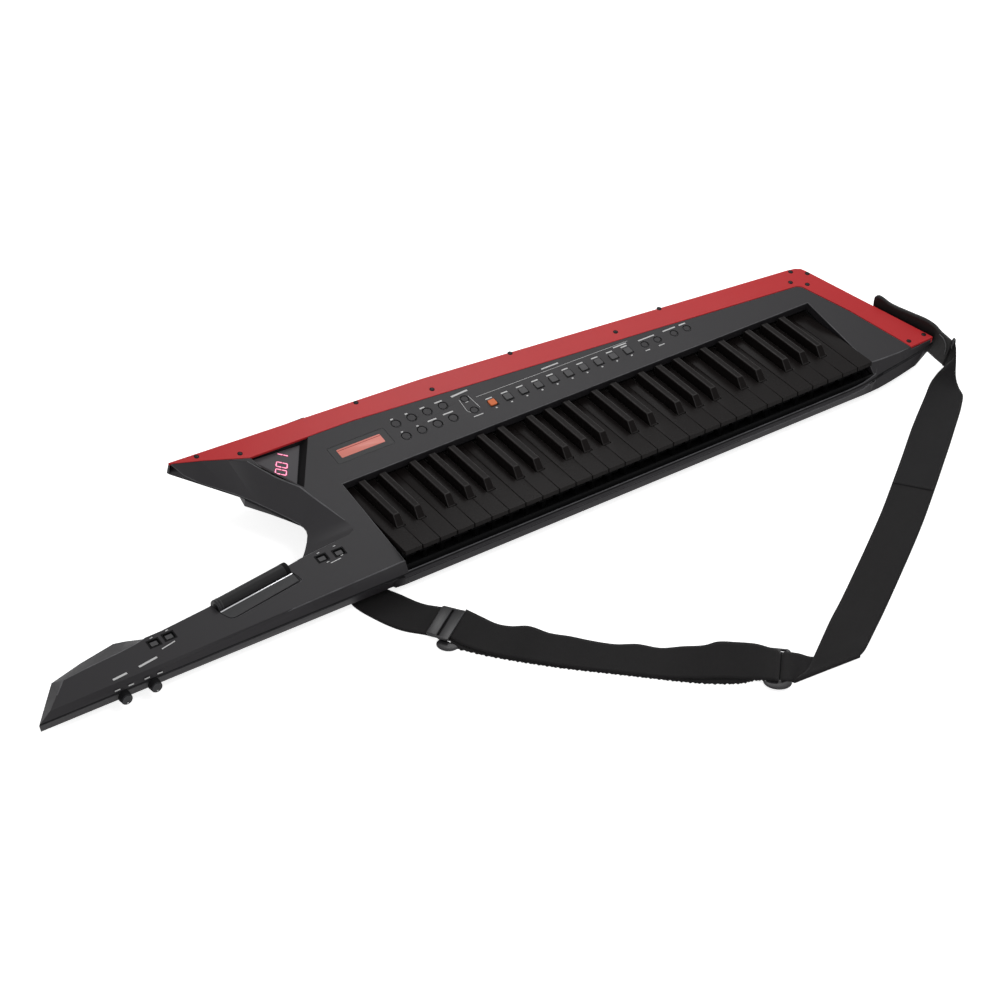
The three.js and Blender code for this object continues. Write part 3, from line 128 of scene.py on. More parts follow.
# %% [markdown]
# ## The camera
# The camera stands where the picture was taken: about three metres off, in front and to the left, and
# looking down by 37 degrees. It is built from its own right and down directions, because two vectors
# are easier to check than three angles. The long lens keeps the far end from shrinking.
# %% Camera
right = Vector((0.8286974, -0.5596548, 0.0068610))
down = Vector((-0.3350444, -0.5058549, -0.7948937))
camera = bpy.data.objects.new("camera", bpy.data.cameras.new("camera"))
scene.collection.objects.link(camera)
camera.data.sensor_width = 36
camera.data.lens = 100.635
camera.data.clip_end = 30
turned = Matrix((right, -down, -right.cross(down))).transposed().to_4x4()
camera.matrix_world = Matrix.Translation(at(-1303.55, -2097.0, 1957.37)) @ turned
scene.camera = camera
print("camera height:", round(camera.matrix_world.translation.z, 3))

# %% [markdown]
# ## A pale studio
# A white floor must look white without flooding the object with light. The floor is a plain pale
# surface that keeps the shadow, and it adds a little light of its own only for the rays that the camera
# or a mirror sends. The world does the same, so glossy plastic has something pale to reflect.
# %% World and floor
scene.view_settings.view_transform = "Standard"


def math_node(tree, operation, first, second, clamp=False):
    node = tree.nodes.new("ShaderNodeMath")
    node.operation = operation
    node.use_clamp = clamp
    for socket, value in zip(node.inputs, (first, second)):
        if isinstance(value, (int, float)):
            socket.default_value = value
        else:
            tree.links.new(value, socket)
    return node.outputs[0]


def seen_rays(tree):
    path = tree.nodes.new("ShaderNodeLightPath").outputs
    direct = math_node(tree, "MAXIMUM", path["Is Camera Ray"], path["Is Glossy Ray"])
    return math_node(tree, "MAXIMUM", direct, path["Is Transmission Ray"])


def new_material(name):
    material = bpy.data.materials.new(name)
    material.use_nodes = True
    tree = material.node_tree
    return material, tree, tree.nodes["Principled BSDF"]


def set_inputs(node, **values):
    for title, value in values.items():
        node.inputs[title.replace("_", " ")].default_value = value


def square(size):
    shape = bmesh.new()
    bmesh.ops.create_grid(shape, x_segments=1, y_segments=1, size=size)
    return shape


def mesh_of(name, shape):
    mesh = bpy.data.meshes.new(name)
    shape.to_mesh(mesh)
    shape.free()
    return mesh


world = bpy.data.worlds.new("studio")
world.use_nodes = True
scene.world = world
tree = world.node_tree
background = tree.nodes["Background"]
set_inputs(background, Color=(1, 1, 1, 1))
level = tree.nodes.new("ShaderNodeMapRange")
set_inputs(level, To_Min=0.34, To_Max=1.0)
tree.links.new(seen_rays(tree), level.inputs["Value"])
tree.links.new(level.outputs["Result"], background.inputs["Strength"])

floor = bpy.data.objects.new("floor", mesh_of("floor", square(6)))
floor.location.z = cad_box[0][2] - 0.0002
scene.collection.objects.link(floor)
paper, tree, surface = new_material("paper floor")
set_inputs(surface, Base_Color=(0.86, 0.86, 0.86, 1), Roughness=0.9, Specular_IOR_Level=0.1)
set_inputs(surface, Emission_Color=(1, 1, 1, 1))
floor_glow = 0.82
tree.links.new(math_node(tree, "MULTIPLY", seen_rays(tree), floor_glow), surface.inputs["Emission Strength"])
floor.data.materials.append(paper)
print("floor level:", round(floor.location.z, 4))

# %% [markdown]
# ## Soft lamps
# Black plastic shows its form by what it reflects. The main lamp stands in front, where only the rounded
# front edges mirror it into the lens, so the tops stay dark. The face lamp stands where the tilted face,
# and not the level keys, mirrors it, so the face is paler than the slopes around it and fades towards
# both ends. A small one does the same for the left end of the painted edge. All are plain white.
# %% Lamps


def lamp(name, place, aim, size, power):
    data = bpy.data.lights.new(name, "AREA")
    data.shape = "SQUARE"
    data.size = size
    data.energy = power
    obj = bpy.data.objects.new(name, data)
    scene.collection.objects.link(obj)
    obj.location = place
    obj.rotation_euler = (Vector(aim) - Vector(place)).to_track_quat("-Z", "Y").to_euler()
    return obj


middle = at(300, 60, 0)
face_mirror = Vector((0.482, 0.407, 0.777))
lamp("main lamp", middle + Vector((-0.1, -1.5, 2.3)), middle, 0.7, 13)
lamp("fill lamp", middle + Vector((-1.9, -1.1, 1.3)), middle, 1.2, 2.5)
lamp("face lamp", at(180, 110, 0) + face_mirror * 2.0, at(180, 110, 0), 0.8, 7)
lamp("edge lamp", at(-60, 190, 0) + face_mirror * 1.5, at(-60, 190, 0), 0.4, 1.6)
print("lamps:", len(bpy.data.lights))

# %% [markdown]
# ## Effects that several finishes share
# Moulded plastic is never quite even: it has a fine spark grain from the mould, a cloudy change of
# gloss where hands have been, and paler edges, which are partly wear and partly a painted highlight.
# Each effect is one node group with its own inputs, so that each finish can take it in its own
# strength. A group gives out only values and colours.
# %% Node groups


def node_group(name, inputs, outputs):
    group = bpy.data.node_groups.new(name, "ShaderNodeTree")
    for title, value in inputs.items():
        socket = group.interface.new_socket(title, in_out="INPUT", socket_type="NodeSocketFloat")
        socket.default_value = value
    for title in outputs:
        group.interface.new_socket(title, in_out="OUTPUT", socket_type="NodeSocketFloat")
    return group, group.nodes.new("NodeGroupInput").outputs, group.nodes.new("NodeGroupOutput").inputs


def times(tree, first, second):
    return math_node(tree, "MULTIPLY", first, second)


def plus(tree, first, second, clamp=False):
    return math_node(tree, "ADD", first, second, clamp)


def object_place(tree):
    return tree.nodes.new("ShaderNodeTexCoord").outputs["Object"]


def noise_node(tree, vector, scale, detail=2.0, roughness=0.5):
    node = tree.nodes.new("ShaderNodeTexNoise")
    set_inputs(node, Detail=detail, Roughness=roughness)
    tree.links.new(vector, node.inputs["Vector"])
    if isinstance(scale, (int, float)):
        node.inputs["Scale"].default_value = scale
    else:
        tree.links.new(scale, node.inputs["Scale"])
    return node.outputs["Fac"]


grain, inside, outside = node_group("mould grain", {"Grain Size": 1600.0}, ("Height", "Shade"))
place = object_place(grain)
fine = noise_node(grain, place, inside["Grain Size"], 3.0, 0.6)
cells = grain.nodes.new("ShaderNodeTexVoronoi")
grain.links.new(place, cells.inputs["Vector"])
grain.links.new(inside["Grain Size"], cells.inputs["Scale"])
grain.links.new(times(grain, fine, cells.outputs["Distance"]), outside["Height"])
grain.links.new(fine, outside["Shade"])

handling, inside, outside = node_group("handling", {"Cloud Size": 9.0, "Amount": 0.1}, ("Gloss", "Cloud"))
place = object_place(handling)
cloud = noise_node(handling, place, inside["Cloud Size"], 4.0, 0.55)
spots = noise_node(handling, place, 140.0, 2.0, 0.7)
both = plus(handling, times(handling, cloud, 0.7), times(handling, spots, 0.3))
swing = times(handling, math_node(handling, "SUBTRACT", both, 0.5), inside["Amount"])
handling.links.new(swing, outside["Gloss"])
handling.links.new(cloud, outside["Cloud"])

# Paler edges: partly wear, and partly a painted highlight on the bevel faces.
edges, inside, outside = node_group("edge wearing and painted highlight", {"Amount": 0.5}, ("Mask",))
mark = edges.nodes.new("ShaderNodeAttribute")
mark.attribute_name = "edge"
patch = noise_node(edges, object_place(edges), 60.0, 3.0, 0.65)
edges.links.new(times(edges, mark.outputs["Fac"], times(edges, patch, inside["Amount"])), outside["Mask"])
print("node groups:", [group.name for group in bpy.data.node_groups])

# %% [markdown]
# ## A recipe for moulded finishes
# Every hard finish here is one Principled shader. Its colour runs between two near tones with the
# cloud, its edges go paler where the edge mask says so, partly as wear and partly as a painted
# highlight, its roughness swings with handling, and the grain goes to a Bump node. Only the numbers
# differ between black plastic, rubber and painted metal.
# %% Finish recipe


def colour_of(value):
    return (value[0], value[1], value[2], 1.0)


def mix_colour(tree, factor, first, second):
    node = tree.nodes.new("ShaderNodeMix")
    node.data_type = "RGBA"
    tree.links.new(factor, node.inputs[0])
    for socket, value in ((node.inputs[6], first), (node.inputs[7], second)):
        if isinstance(value, tuple):
            socket.default_value = colour_of(value)
        else:
            tree.links.new(value, socket)
    return node.outputs[2]


def place_group(tree, group, **values):
    node = tree.nodes.new("ShaderNodeGroup")
    node.node_tree = group
    set_inputs(node, **values)
    return node


def rough_and_bump(tree, shader, handled, roughness, height, strength, depth):
    rough = plus(tree, handled.outputs["Gloss"], roughness, clamp=True)
    tree.links.new(rough, shader.inputs["Roughness"])
    bump = tree.nodes.new("ShaderNodeBump")
    set_inputs(bump, Strength=strength, Distance=depth * mm)
    tree.links.new(height, bump.inputs["Height"])
    tree.links.new(bump.outputs["Normal"], shader.inputs["Normal"])


def finish(name, colour, second, roughness, grain_size=1600.0, grain_depth=0.02, swing=0.12, edge_wearing_and_highlight=0.3,
           edge_wearing_and_highlight_tone=(0.16, 0.16, 0.17), metallic=0.0, specular=0.5, coat=0.0):
    material, tree, shader = new_material(name)
    grained = place_group(tree, grain, Grain_Size=grain_size)
    handled = place_group(tree, handling, Amount=swing)
    wearing_and_highlight_node = place_group(tree, edges, Amount=edge_wearing_and_highlight)
    base = mix_colour(tree, handled.outputs["Cloud"], colour, second)
    # The edge mask paints the edges paler, partly as wear and partly as a painted highlight.
    base = mix_colour(tree, wearing_and_highlight_node.outputs["Mask"], base, edge_wearing_and_highlight_tone)
    tree.links.new(base, shader.inputs["Base Color"])
    rough_and_bump(tree, shader, handled, roughness, grained.outputs["Height"], 0.6, grain_depth)
    set_inputs(shader, Metallic=metallic, Specular_IOR_Level=specular, Coat_Weight=coat, Coat_Roughness=0.12)
    return material


# The pale edge tones of the shell and the keys are partly wear, and partly a painted highlight.
black_shell = finish("black moulded shell", (0.021, 0.0195, 0.022), (0.027, 0.0255, 0.028), 0.48, 1500, 0.05,
                     edge_wearing_and_highlight=0.9, edge_wearing_and_highlight_tone=(0.2, 0.2, 0.21), specular=0.2)
black_key = finish("black key plastic", (0.0085, 0.0068, 0.0066), (0.0125, 0.0104, 0.0102), 0.27, 2200, 0.012,
                   0.08, 0.6, (0.11, 0.105, 0.105), specular=0.05)
# This finish is painted shade for hollows, gaps and undersides that lie in shadow, and it is also the colour
# of the dark plastic parts.
shade_and_dark_plastic = finish("painted shade and dark plastic", (0.004, 0.004, 0.0045), (0.007, 0.007, 0.0075), 0.7, specular=0.1)
print("finishes:", len(bpy.data.materials))

# %% [markdown]
# The small parts take the same recipe. Buttons and the ribbon plate are satin, the buckles are glossy,
# the painted edge has a thin clear coat, and the pins are the only bare metal apart from one strip.
# %% Finishes of the small parts
red_coat = finish("red painted edge", (0.55, 0.026, 0.030), (0.64, 0.036, 0.040), 0.36, 2600, 0.012, 0.08,
                  0.2, (0.7, 0.12, 0.12), specular=0.12, coat=0.03)
cap_plastic = finish("grey button caps", (0.065, 0.064, 0.067), (0.085, 0.084, 0.087), 0.55, 1800, 0.03,
                     specular=0.25)
flush_cap = finish("dark button caps", (0.020, 0.0185, 0.021), (0.026, 0.0245, 0.027), 0.5, 1800, 0.03,
                   specular=0.22)
rubber = finish("black rubber", (0.007, 0.007, 0.008), (0.012, 0.0115, 0.0125), 0.42, 900, 0.05, edge_wearing_and_highlight=0.6,
                specular=0.2)
satin = finish("satin grey plastic", (0.022, 0.022, 0.024), (0.03, 0.03, 0.032), 0.42, 1700, 0.03,
               specular=0.22)
buckle = finish("glossy buckle plastic", (0.018, 0.0175, 0.019), (0.028, 0.027, 0.029), 0.38, 1200, 0.02,
                specular=0.3)
leather = finish("black strap leather", (0.008, 0.0072, 0.0072), (0.015, 0.0135, 0.0135), 0.5, 420, 0.25,
                 0.2, 0.5, specular=0.3)
bright_metal = finish("bright metal", (0.55, 0.55, 0.57), (0.62, 0.62, 0.64), 0.28, 1500, 0.01, 0.1, 0.2,
                      (0.8, 0.8, 0.8), metallic=1.0)
smoked = finish("smoked window", (0.075, 0.072, 0.078), (0.10, 0.096, 0.102), 0.5, 500, 0.004, 0.06, 0.1,
                specular=0.15)
screen_glass = finish("screen glass", (0.006, 0.006, 0.007), (0.010, 0.010, 0.011), 0.5, 700, 0.003, 0.05,
                      0.3, specular=0.3)
white_print = finish("white print", (0.62, 0.62, 0.62), (0.78, 0.78, 0.78), 0.6, 2400, 0.01, specular=0.2)
small_metal = finish("dark screw metal", (0.006, 0.006, 0.0065), (0.012, 0.012, 0.013), 0.35, 1500, 0.02,
                     specular=0.2)
print("finishes:", len(bpy.data.materials))

# %% [markdown]
# ## Softened edges
# A real moulding has no knife edge, and the thin light line on each corner is what makes black
# plastic readable. So every edge that turns sharply and has room for it gets a small round bevel. The
# bevel faces are marked with an attribute, so that the finish paints them paler, partly as wear and
# partly as a painted highlight.
# %% Helpers for pieces and edges


def link_piece(name, mesh, body="case", slot=None, *materials):
    piece = bpy.data.objects.new(name, mesh)
    scene.collection.objects.link(piece)
    for material in materials:
        mesh.materials.append(material)
    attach(piece, body)
    return piece


def body_of(node):
    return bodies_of(frame["nodes"][node])[0]


def solid_copy(node):
    shape = bmesh.new()
    shape.from_mesh(frame["nodes"][node].data)
    return shape


def rounded_edges(shape, mask, edges, radius, segments):
    """Rounds the edges that have room for it, so that one short edge doesn't shrink the round of all."""
    room = 1.3 * radius * mm
    sharpest = radians(50)
    chosen = set(edges)

    def crowded(edge, other, vert):
        if other.calc_length() < room:
            return True
        way = edge.other_vert(vert).co - vert.co
        return other in chosen and other != edge and way.angle(other.other_vert(vert).co - vert.co) < sharpest

    wide = [edge for edge in edges
            if not any(crowded(edge, other, vert) for vert in edge.verts for other in vert.link_edges)]
    result = bmesh.ops.bevel(shape, geom=wide, offset=radius * mm, offset_type="OFFSET", affect="EDGES",
                             segments=segments, profile=0.5, material=-1, clamp_overlap=False)
    for face in result["faces"]:
        face[mask] = 1.0


print("bodies to ride on:", len({body_of(node) for node in frame["nodes"]}))

# %% [markdown]
# A piece is softened in one go: weld, dissolve, reshape where asked, round the rim of the top face
# wide and all other sharp edges fine, then shade smooth up to the crisp angle. A second finish can be
# given to some of its faces afterwards.
# %% Softening a solid
weld, nearly_flat = 0.02 * mm, radians(1.5)
sharp_turn, rim_turn = 28, 12
rim_shortest, rim_reach = 2.2 * mm, 0.3


def softened(node, radius, material, slot, segments=2, crisp=40, rim=0.0, rim_level=0.0, reshape=None):
    shape = solid_copy(node)
    bmesh.ops.remove_doubles(shape, verts=shape.verts, dist=weld)
    bmesh.ops.dissolve_limit(shape, angle_limit=nearly_flat, verts=shape.verts, edges=shape.edges)
    mask = shape.faces.layers.float.new("edge")
    if reshape:
        reshape(shape)

    def turning(least):
        return [e for e in shape.edges if len(e.link_faces) == 2 and e.calc_face_angle(0) > radians(least)
                and not any(face[mask] for face in e.link_faces)]

    if rim:
        level = [e for e in turning(rim_turn) if e.calc_length() > rim_shortest
                 and max(abs(face_level(v.co) - rim_level) for v in e.verts) < rim_reach]
        rounded_edges(shape, mask, level, rim, 3)
    rounded_edges(shape, mask, turning(sharp_turn), radius, segments)
    for face in shape.faces:
        face.smooth = True
    for edge in shape.edges:
        if len(edge.link_faces) == 2 and not any(face[mask] for face in edge.link_faces):
            edge.smooth = edge.calc_face_angle(0) < radians(crisp)
    piece = link_piece("soft_" + node, mesh_of("soft_" + node, shape), body_of(node), slot, material)
    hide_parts(node)
    even = piece.modifiers.new("even shading", "WEIGHTED_NORMAL")
    even.weight = 80
    even.keep_sharp = True
    return piece


def second_look(piece, material, chosen):
    """Gives the chosen faces of a piece another finish."""
    mesh = piece.data
    mesh.materials.append(material)
    found = [face for face in mesh.polygons if chosen(face)]
    for face in found:
        face.material_index = len(mesh.materials) - 1
    return len(found)


print("rounded rim: edges longer than", round(rim_shortest / mm, 1), "mm")

# %% [markdown]
# ## The keys
# 29 black naturals and 20 raised keys, moulded in a smooth glossy black. Their edges are rounded by
# less than a millimetre, and that round is nearly all that shows of them in a dark photograph.
# %% Keys
count = 0
below_lip = at(0, 0, -5.6).z
for name in sorted(frame["nodes"]):
    if name.startswith("key_") and name != "key_chassis":
        key = softened(name, 0.7, black_key, "key_plastic")
        # Faces below the lip take painted shade, the dark of the hollow under the keys.
        second_look(key, shade_and_dark_plastic, lambda face: face.center.z < below_lip)
        count += len(key.data.polygons)
    if name.startswith("sharps_"):
        count += len(softened(name, 0.9, black_key, "key_plastic", segments=3).data.polygons)
print("key faces:", count)

# %% [markdown]
# ## Shells, edge panel and small plastic
# The shells are large and were cut many times, so their round is smaller, and only the rim of the top
# face gets a wider one. Beside the number display the facet ends in a gentle crest: its straight edge
# is divided, and the new points are moved on to a curve. The window below is bent in the same way.
# %% Bent crest and the two shells


def bowed(runs, targets):
    """Bends each edge between two places on the face, so that it runs through the targets."""
    def reshape(shape):
        for first, last in runs:
            ends = [on_face(*first), on_face(*last)]
            found = [edge for edge in shape.edges
                     if any((a.co - ends[0]).length < edge_reach and (b.co - ends[1]).length < edge_reach
                            for a, b in (edge.verts, reversed(edge.verts)))]
            made = bmesh.ops.subdivide_edges(shape, edges=found, cuts=len(targets))["geom_inner"]
            fresh = [vert for vert in made if isinstance(vert, bmesh.types.BMVert)]
            fresh.sort(key=lambda vert: (vert.co - ends[0]).length)
            for vert, (x, v) in zip(fresh, targets):
                vert.co = on_face(x, v, face_level(vert.co))
            print("bent edges:", len(found), "new points:", len(fresh))
    return reshape


edge_reach = 1.8 * mm
crest = [(-72.6, 196.5), (-65.6, 181), (-58.6, 169)]
face_run = ((-74.7, 218.6, 0), (-44.2, 148.5, 0))
floor_run, glass_run, under_run = [((-75.5, 220.3, level), (-47.5, 158, level)) for level in (-8.3, -6, -8)]
recess_side = bowed([face_run, floor_run], [(x + 1.2, v) for x, v in crest])
glass_side = bowed([glass_run, under_run], [(x + 0.4, v + 2) for x, v in crest])


def upper_shape(shape):
    straight, bent = on_face(-58.7, 177.7, 0), on_face(-64.9, 177.7, 0)
    for vert in shape.verts:
        if (vert.co - straight).length < 0.5 * mm:
            vert.co = bent
    recess_side(shape)


upper = softened("upper_case", 0.5, black_shell, "housing", crisp=16, rim=0.9, reshape=upper_shape)
lower = softened("lower_case", 0.6, black_shell, "housing", crisp=14, rim=1.3, rim_level=-12.3)
print("faces of the shells:", len(upper.data.polygons), len(lower.data.polygons))

# %% [markdown]
# Two shells meet in a fine gap that the eye reads as one dark line. Both are cut along two levels, and
# the band next to the gap takes the dark finish as painted shade. The wells of the small buttons and the
# walls of the display's recess lie in shadow on the real thing, and take the same painted shade.
# %% Painted shade in the seam, wells and recess


def sliced(shape, point, normal, clear_outer=False):
    whole = list(shape.verts) + list(shape.edges) + list(shape.faces)
    bmesh.ops.bisect_plane(shape, geom=whole, plane_co=point, plane_no=normal, clear_outer=clear_outer)


def dark_band(piece, low, high):
    """Cuts a piece along two levels of the face and gives the band between them painted shade."""
    shape = bmesh.new()
    shape.from_mesh(piece.data)
    across = (0, -sin(lean), cos(lean))
    for level in (low, high):
        sliced(shape, on_face(0, 0, level), across)
    shape.to_mesh(piece.data)
    shape.free()
    return second_look(piece, shade_and_dark_plastic, lambda face: low < face_level(face.center) < high)


seam = dark_band(upper, -12.2, -10.9) + dark_band(lower, -13.9, -12.1)
small_spots = ((-308.7, 21.9), (-289.6, 23.1), (-83.1, 44.1), (-61.5, 43))
small_buttons = [on_face(x, v, -1) for x, v in small_spots]
recess_middle, recess_left = on_face(-40, 195, -4), on_face(-62, 180, 0).x
well_reach, recess_reach = 8.5 * mm, 47 * mm


def in_well(face):
    near = min((face.center - spot).length for spot in small_buttons)
    return face_level(face.center) < -0.3 and near < well_reach


def in_recess(face):
    near = (face.center - recess_middle).length < recess_reach and face.center.x > recess_left
    return near and -8.5 < face_level(face.center) < -0.6


wells = second_look(upper, shade_and_dark_plastic, in_well)
walls = second_look(upper, shade_and_dark_plastic, in_recess)
softened("edge_panel", 0.5, red_coat, "red_metal")
softened("battery_cover", 0.5, black_shell, "housing")
softened("number_window", 0.3, smoked, "display_glass", reshape=glass_side)
softened("screen_lens", 0.3, screen_glass, "display_glass")
print("faces in the dark seam:", seam, "in the wells:", wells, "in the recess:", walls)

# %% [markdown]
# ## Buttons, knobs and buckles
# Most buttons are flush and have the colour of the shell, so only their gaps show. The ten program
# buttons are a paler grey, stand a little proud, and the first one is lit. The sides of the four small
# buttons take painted shade. The chassis under the keys is only a dark hollow, so it keeps its plain
# solid and takes the dark finish as painted shade.
# %% Buttons, knobs and buckles
lit_orange = finish("lit button", (0.75, 0.16, 0.05), (0.85, 0.22, 0.07), 0.5, 1800, 0.02, specular=0.2)
for name in ("menu_keypad", "mode_keypad", "player_keypad"):
    softened(name, 0.35, flush_cap, "button_rubber")
program = softened("program_keypad", 0.6, cap_plastic, "button_rubber")
program_x = [227.9 + 22.22 * i for i in range(10)]
first_button = on_face(program_x[0], 165.8, 1.0)
second_look(program, lit_orange, lambda face: (face.center - first_button).length < 8 * mm)
for name in ("octave_down_button", "octave_up_button", "hold_button", "shift_button"):
    cap = softened(name, 0.9, cap_plastic, "button_rubber")
    # The sides of the cap take painted shade, as they lie in their well.
    second_look(cap, shade_and_dark_plastic, lambda face: face.normal.z < 0.75)
softened("ribbon_plate", 0.3, satin, "satin_plastic")
softened("modulation_bar", 0.6, rubber, "bar_rubber")
knob_front = at(0, -20, 0).y
for name in ("volume_knob", "control_knob"):
    knob = softened(name, 0.4, shade_and_dark_plastic, "dark_plastic")
    second_look(knob, satin, lambda face: face.normal.y < -0.9 and face.center.y < knob_front)
softened("strap_slider", 0.8, buckle, "buckle_plastic")
for name in ("strap_pin_rear", "strap_pin_right"):
    softened(name, 0.4, bright_metal, "pin_metal")
# The chassis takes painted shade: it stands for the dark hollow under the keys.
hollow = frame["nodes"]["key_chassis"].data
hollow.materials.clear()
hollow.materials.append(shade_and_dark_plastic)

# %% [markdown]
# ## Small turned parts
# Screws, rings and pads are round, so each is a profile of radius and height, spun about its own axis.
# One mesh is made for each kind and then set down at every place. Flat bars start as a cube whose
# upright edges get a wide round and whose rims get a narrow one.
# %% Helpers for turned parts and rounded bars


def turned(profile, steps=24):
    shape = bmesh.new()
    corners = [shape.verts.new((radius * mm, 0, height * mm)) for radius, height in profile]
    line = [shape.edges.new(pair) for pair in zip(corners, corners[1:])]
    bmesh.ops.spin(shape, geom=corners + line, axis=(0, 0, 1), angle=2 * pi, steps=steps, use_merge=True)
    bmesh.ops.remove_doubles(shape, verts=shape.verts, dist=weld / 10)
    bmesh.ops.recalc_face_normals(shape, faces=shape.faces)
    return shape


def rounded_bar(length, width, thick, corner, rim=0.15, steps=4):
    shape = bmesh.new()
    bmesh.ops.create_cube(shape, size=1)
    bmesh.ops.scale(shape, vec=Vector((length, width, thick)) * mm, verts=shape.verts)
    upright = [e for e in shape.edges if abs(e.verts[0].co.z - e.verts[1].co.z) > 0.5 * thick * mm]
    bmesh.ops.bevel(shape, geom=upright, offset=corner * mm, affect="EDGES", segments=steps, profile=0.5,
                    material=-1)
    rims = [e for e in shape.edges if e.calc_face_angle(0) > radians(60)]
    bmesh.ops.bevel(shape, geom=rims, offset=rim * mm, affect="EDGES", segments=2, profile=0.5, material=-1)
    return shape


def set_down(name, shape, places, slot, *materials, body="case", smooth=True):
    """One piece with a copy of the shape at each place."""
    for face in shape.faces:
        face.smooth = smooth
    one = mesh_of(name + "_one", shape)
    whole = bmesh.new()
    for place in places:
        before = len(whole.verts)
        whole.from_mesh(one)
        bmesh.ops.transform(whole, matrix=place, verts=list(whole.verts)[before:])
    bpy.data.meshes.remove(one)
    return link_piece(name, mesh_of(name, whole), body, slot, *materials)


def surface_of(node):
    shape = solid_copy(node)
    tree = BVHTree.FromBMesh(shape)
    shape.free()
    return tree


def on_surface(tree, x, y, way=-1):
    """Place on the first surface that is met from above (-1) or from below (1)."""
    point, normal, _, _ = tree.ray_cast(at(x, y, -200 * way), Vector((0, 0, way)))
    turn = Vector((0, 0, 1)).rotation_difference(normal).to_matrix().to_4x4()
    return Matrix.Translation(point) @ turn


print("triangles of the plain upper case:", len(frame["nodes"]["upper_case"].data.polygons))

# %% [markdown]
# ## Screws
# Thirteen screws hold the top shell, and eight more sit below. Each has a domed head with a dark cross
# of painted shade where its recess is, in a black ring of painted shade round the head, and no two
# crosses are turned alike. A ray finds the surface at each place, so the screws on the slopes lean
# with them.
# %% Screws
screw_spots = [
    (-129.3, 244.8), (-82.4, 226.2), (82, 236.7), (175.2, 214.6), (294.8, 224.3), (433.9, 196.8),
    (508.3, 207), (702.7, 186.8), (690.1, 170.9), (720.5, 174.6), (707.5, 158.2), (782.7, 16.5),
    (757.6, 15.8),
]
screw_profile = [
    (0, 0.34), (1.1, 0.32), (1.75, 0.2), (2.0, 0.02), (2.25, 0.01), (2.9, 0.03), (3.1, 0.06), (3.3, -0.02),
]


def screw_shape():
    shape = turned(screw_profile, 20)
    for turn in (0, pi / 2):
        slot = bmesh.ops.create_cube(shape, size=1)["verts"]
        bmesh.ops.scale(shape, vec=Vector((2.1, 0.5, 0.1)) * mm, verts=slot)
        bmesh.ops.rotate(shape, matrix=Matrix.Rotation(turn, 3, "Z"), verts=slot)
        bmesh.ops.translate(shape, vec=(0, 0, 0.31 * mm), verts=slot)
    # The cross stands for the recess and the outer ring for the hole round the head: both take painted shade.
    for face in shape.faces:
        centre = face.calc_center_median() / mm
        on_cross = len(face.verts) == 4 and abs(centre.z - 0.36) < 0.01
        face.material_index = 1 if centre.to_2d().length > 2.0 or on_cross else 0
    return shape


def about_z(angle):
    return Matrix.Rotation(angle, 4, "Z")


skins = [surface_of("upper_case"), surface_of("edge_panel")]
spots = []
for i, (x, y) in enumerate(screw_spots):
    found = [on_surface(skin, x, y) for skin in skins if skin.ray_cast(at(x, y, 200), Vector((0, 0, -1)))[0]]
    spots.append(max(found, key=lambda place: place.translation.z) @ about_z(0.7 * i))
set_down("top_screws", screw_shape(), spots, "pin_metal", small_metal, shade_and_dark_plastic)
under_spots = [(30, 75), (30, 185), (205, 75), (205, 185), (470, 75), (470, 175), (600, 90), (600, 150)]
under_skin = surface_of("lower_case")
spots = [on_surface(under_skin, x, y, 1) @ about_z(0.9 * i) for i, (x, y) in enumerate(under_spots)]
set_down("under_screws", screw_shape(), spots, "pin_metal", small_metal, shade_and_dark_plastic)
print("screws:", len(screw_spots) + len(under_spots))

# %% [markdown]
# ## Number display
# Three digits of seven segments lie on the smoked window, slanted, and run up the face. A segment is a
# six-sided disc whose two halves are drawn apart. The digits are lit: a pale core sits on a wider dark
# red glow.
# %% Number display


def glowing(material, colour, strength):
    shader = material.node_tree.nodes["Principled BSDF"]
    shader.inputs["Emission Color"].default_value = colour
    shader.inputs["Emission Strength"].default_value = strength
    return material


lit_core = glowing(finish("lit segments", (0.9, 0.30, 0.42), (1.0, 0.42, 0.55), 0.5, 2000, 0.0, specular=0.1),
                   (1.0, 0.36, 0.55, 1), 1.0)
lit_glow = glowing(finish("segment glow", (0.16, 0.004, 0.03), (0.22, 0.008, 0.05), 0.5, 2000, 0.0,
                          specular=0.1), (0.6, 0.01, 0.12, 1), 0.5)
digit_wide, digit_high, digit_slant = 7.2, 12.8, 0.14
joint_gap, disc_share = 0.95, 1.732
segments = {
    "a": (0, 0.5, 0), "b": (0.5, 0.25, 1), "c": (0.5, -0.25, 1), "d": (0, -0.5, 0),
    "e": (-0.5, -0.25, 1), "f": (-0.5, 0.25, 1), "g": (0, 0, 0),
}


def digit_shape(shown, wide, thick):
    shape = bmesh.new()
    for letter in shown:
        across, up, upright = segments[letter]
        half = (digit_high / 4 if upright else digit_wide / 2) - joint_gap
        radius = wide * mm / disc_share
        disc = bmesh.ops.create_circle(shape, cap_ends=True, segments=6, radius=radius)["verts"]
        for vert in disc:
            vert.co.x += half * mm * (1 if vert.co.x > 0 else -1)
        bmesh.ops.rotate(shape, matrix=Matrix.Rotation(pi / 2 * upright, 3, "Z"), verts=disc)
        bmesh.ops.translate(shape, vec=Vector((across * digit_wide, up * digit_high, 0)) * mm, verts=disc)
    bmesh.ops.solidify(shape, geom=shape.faces, thickness=thick * mm)
    for vert in shape.verts:
        vert.co.x += digit_slant * vert.co.y
    return shape


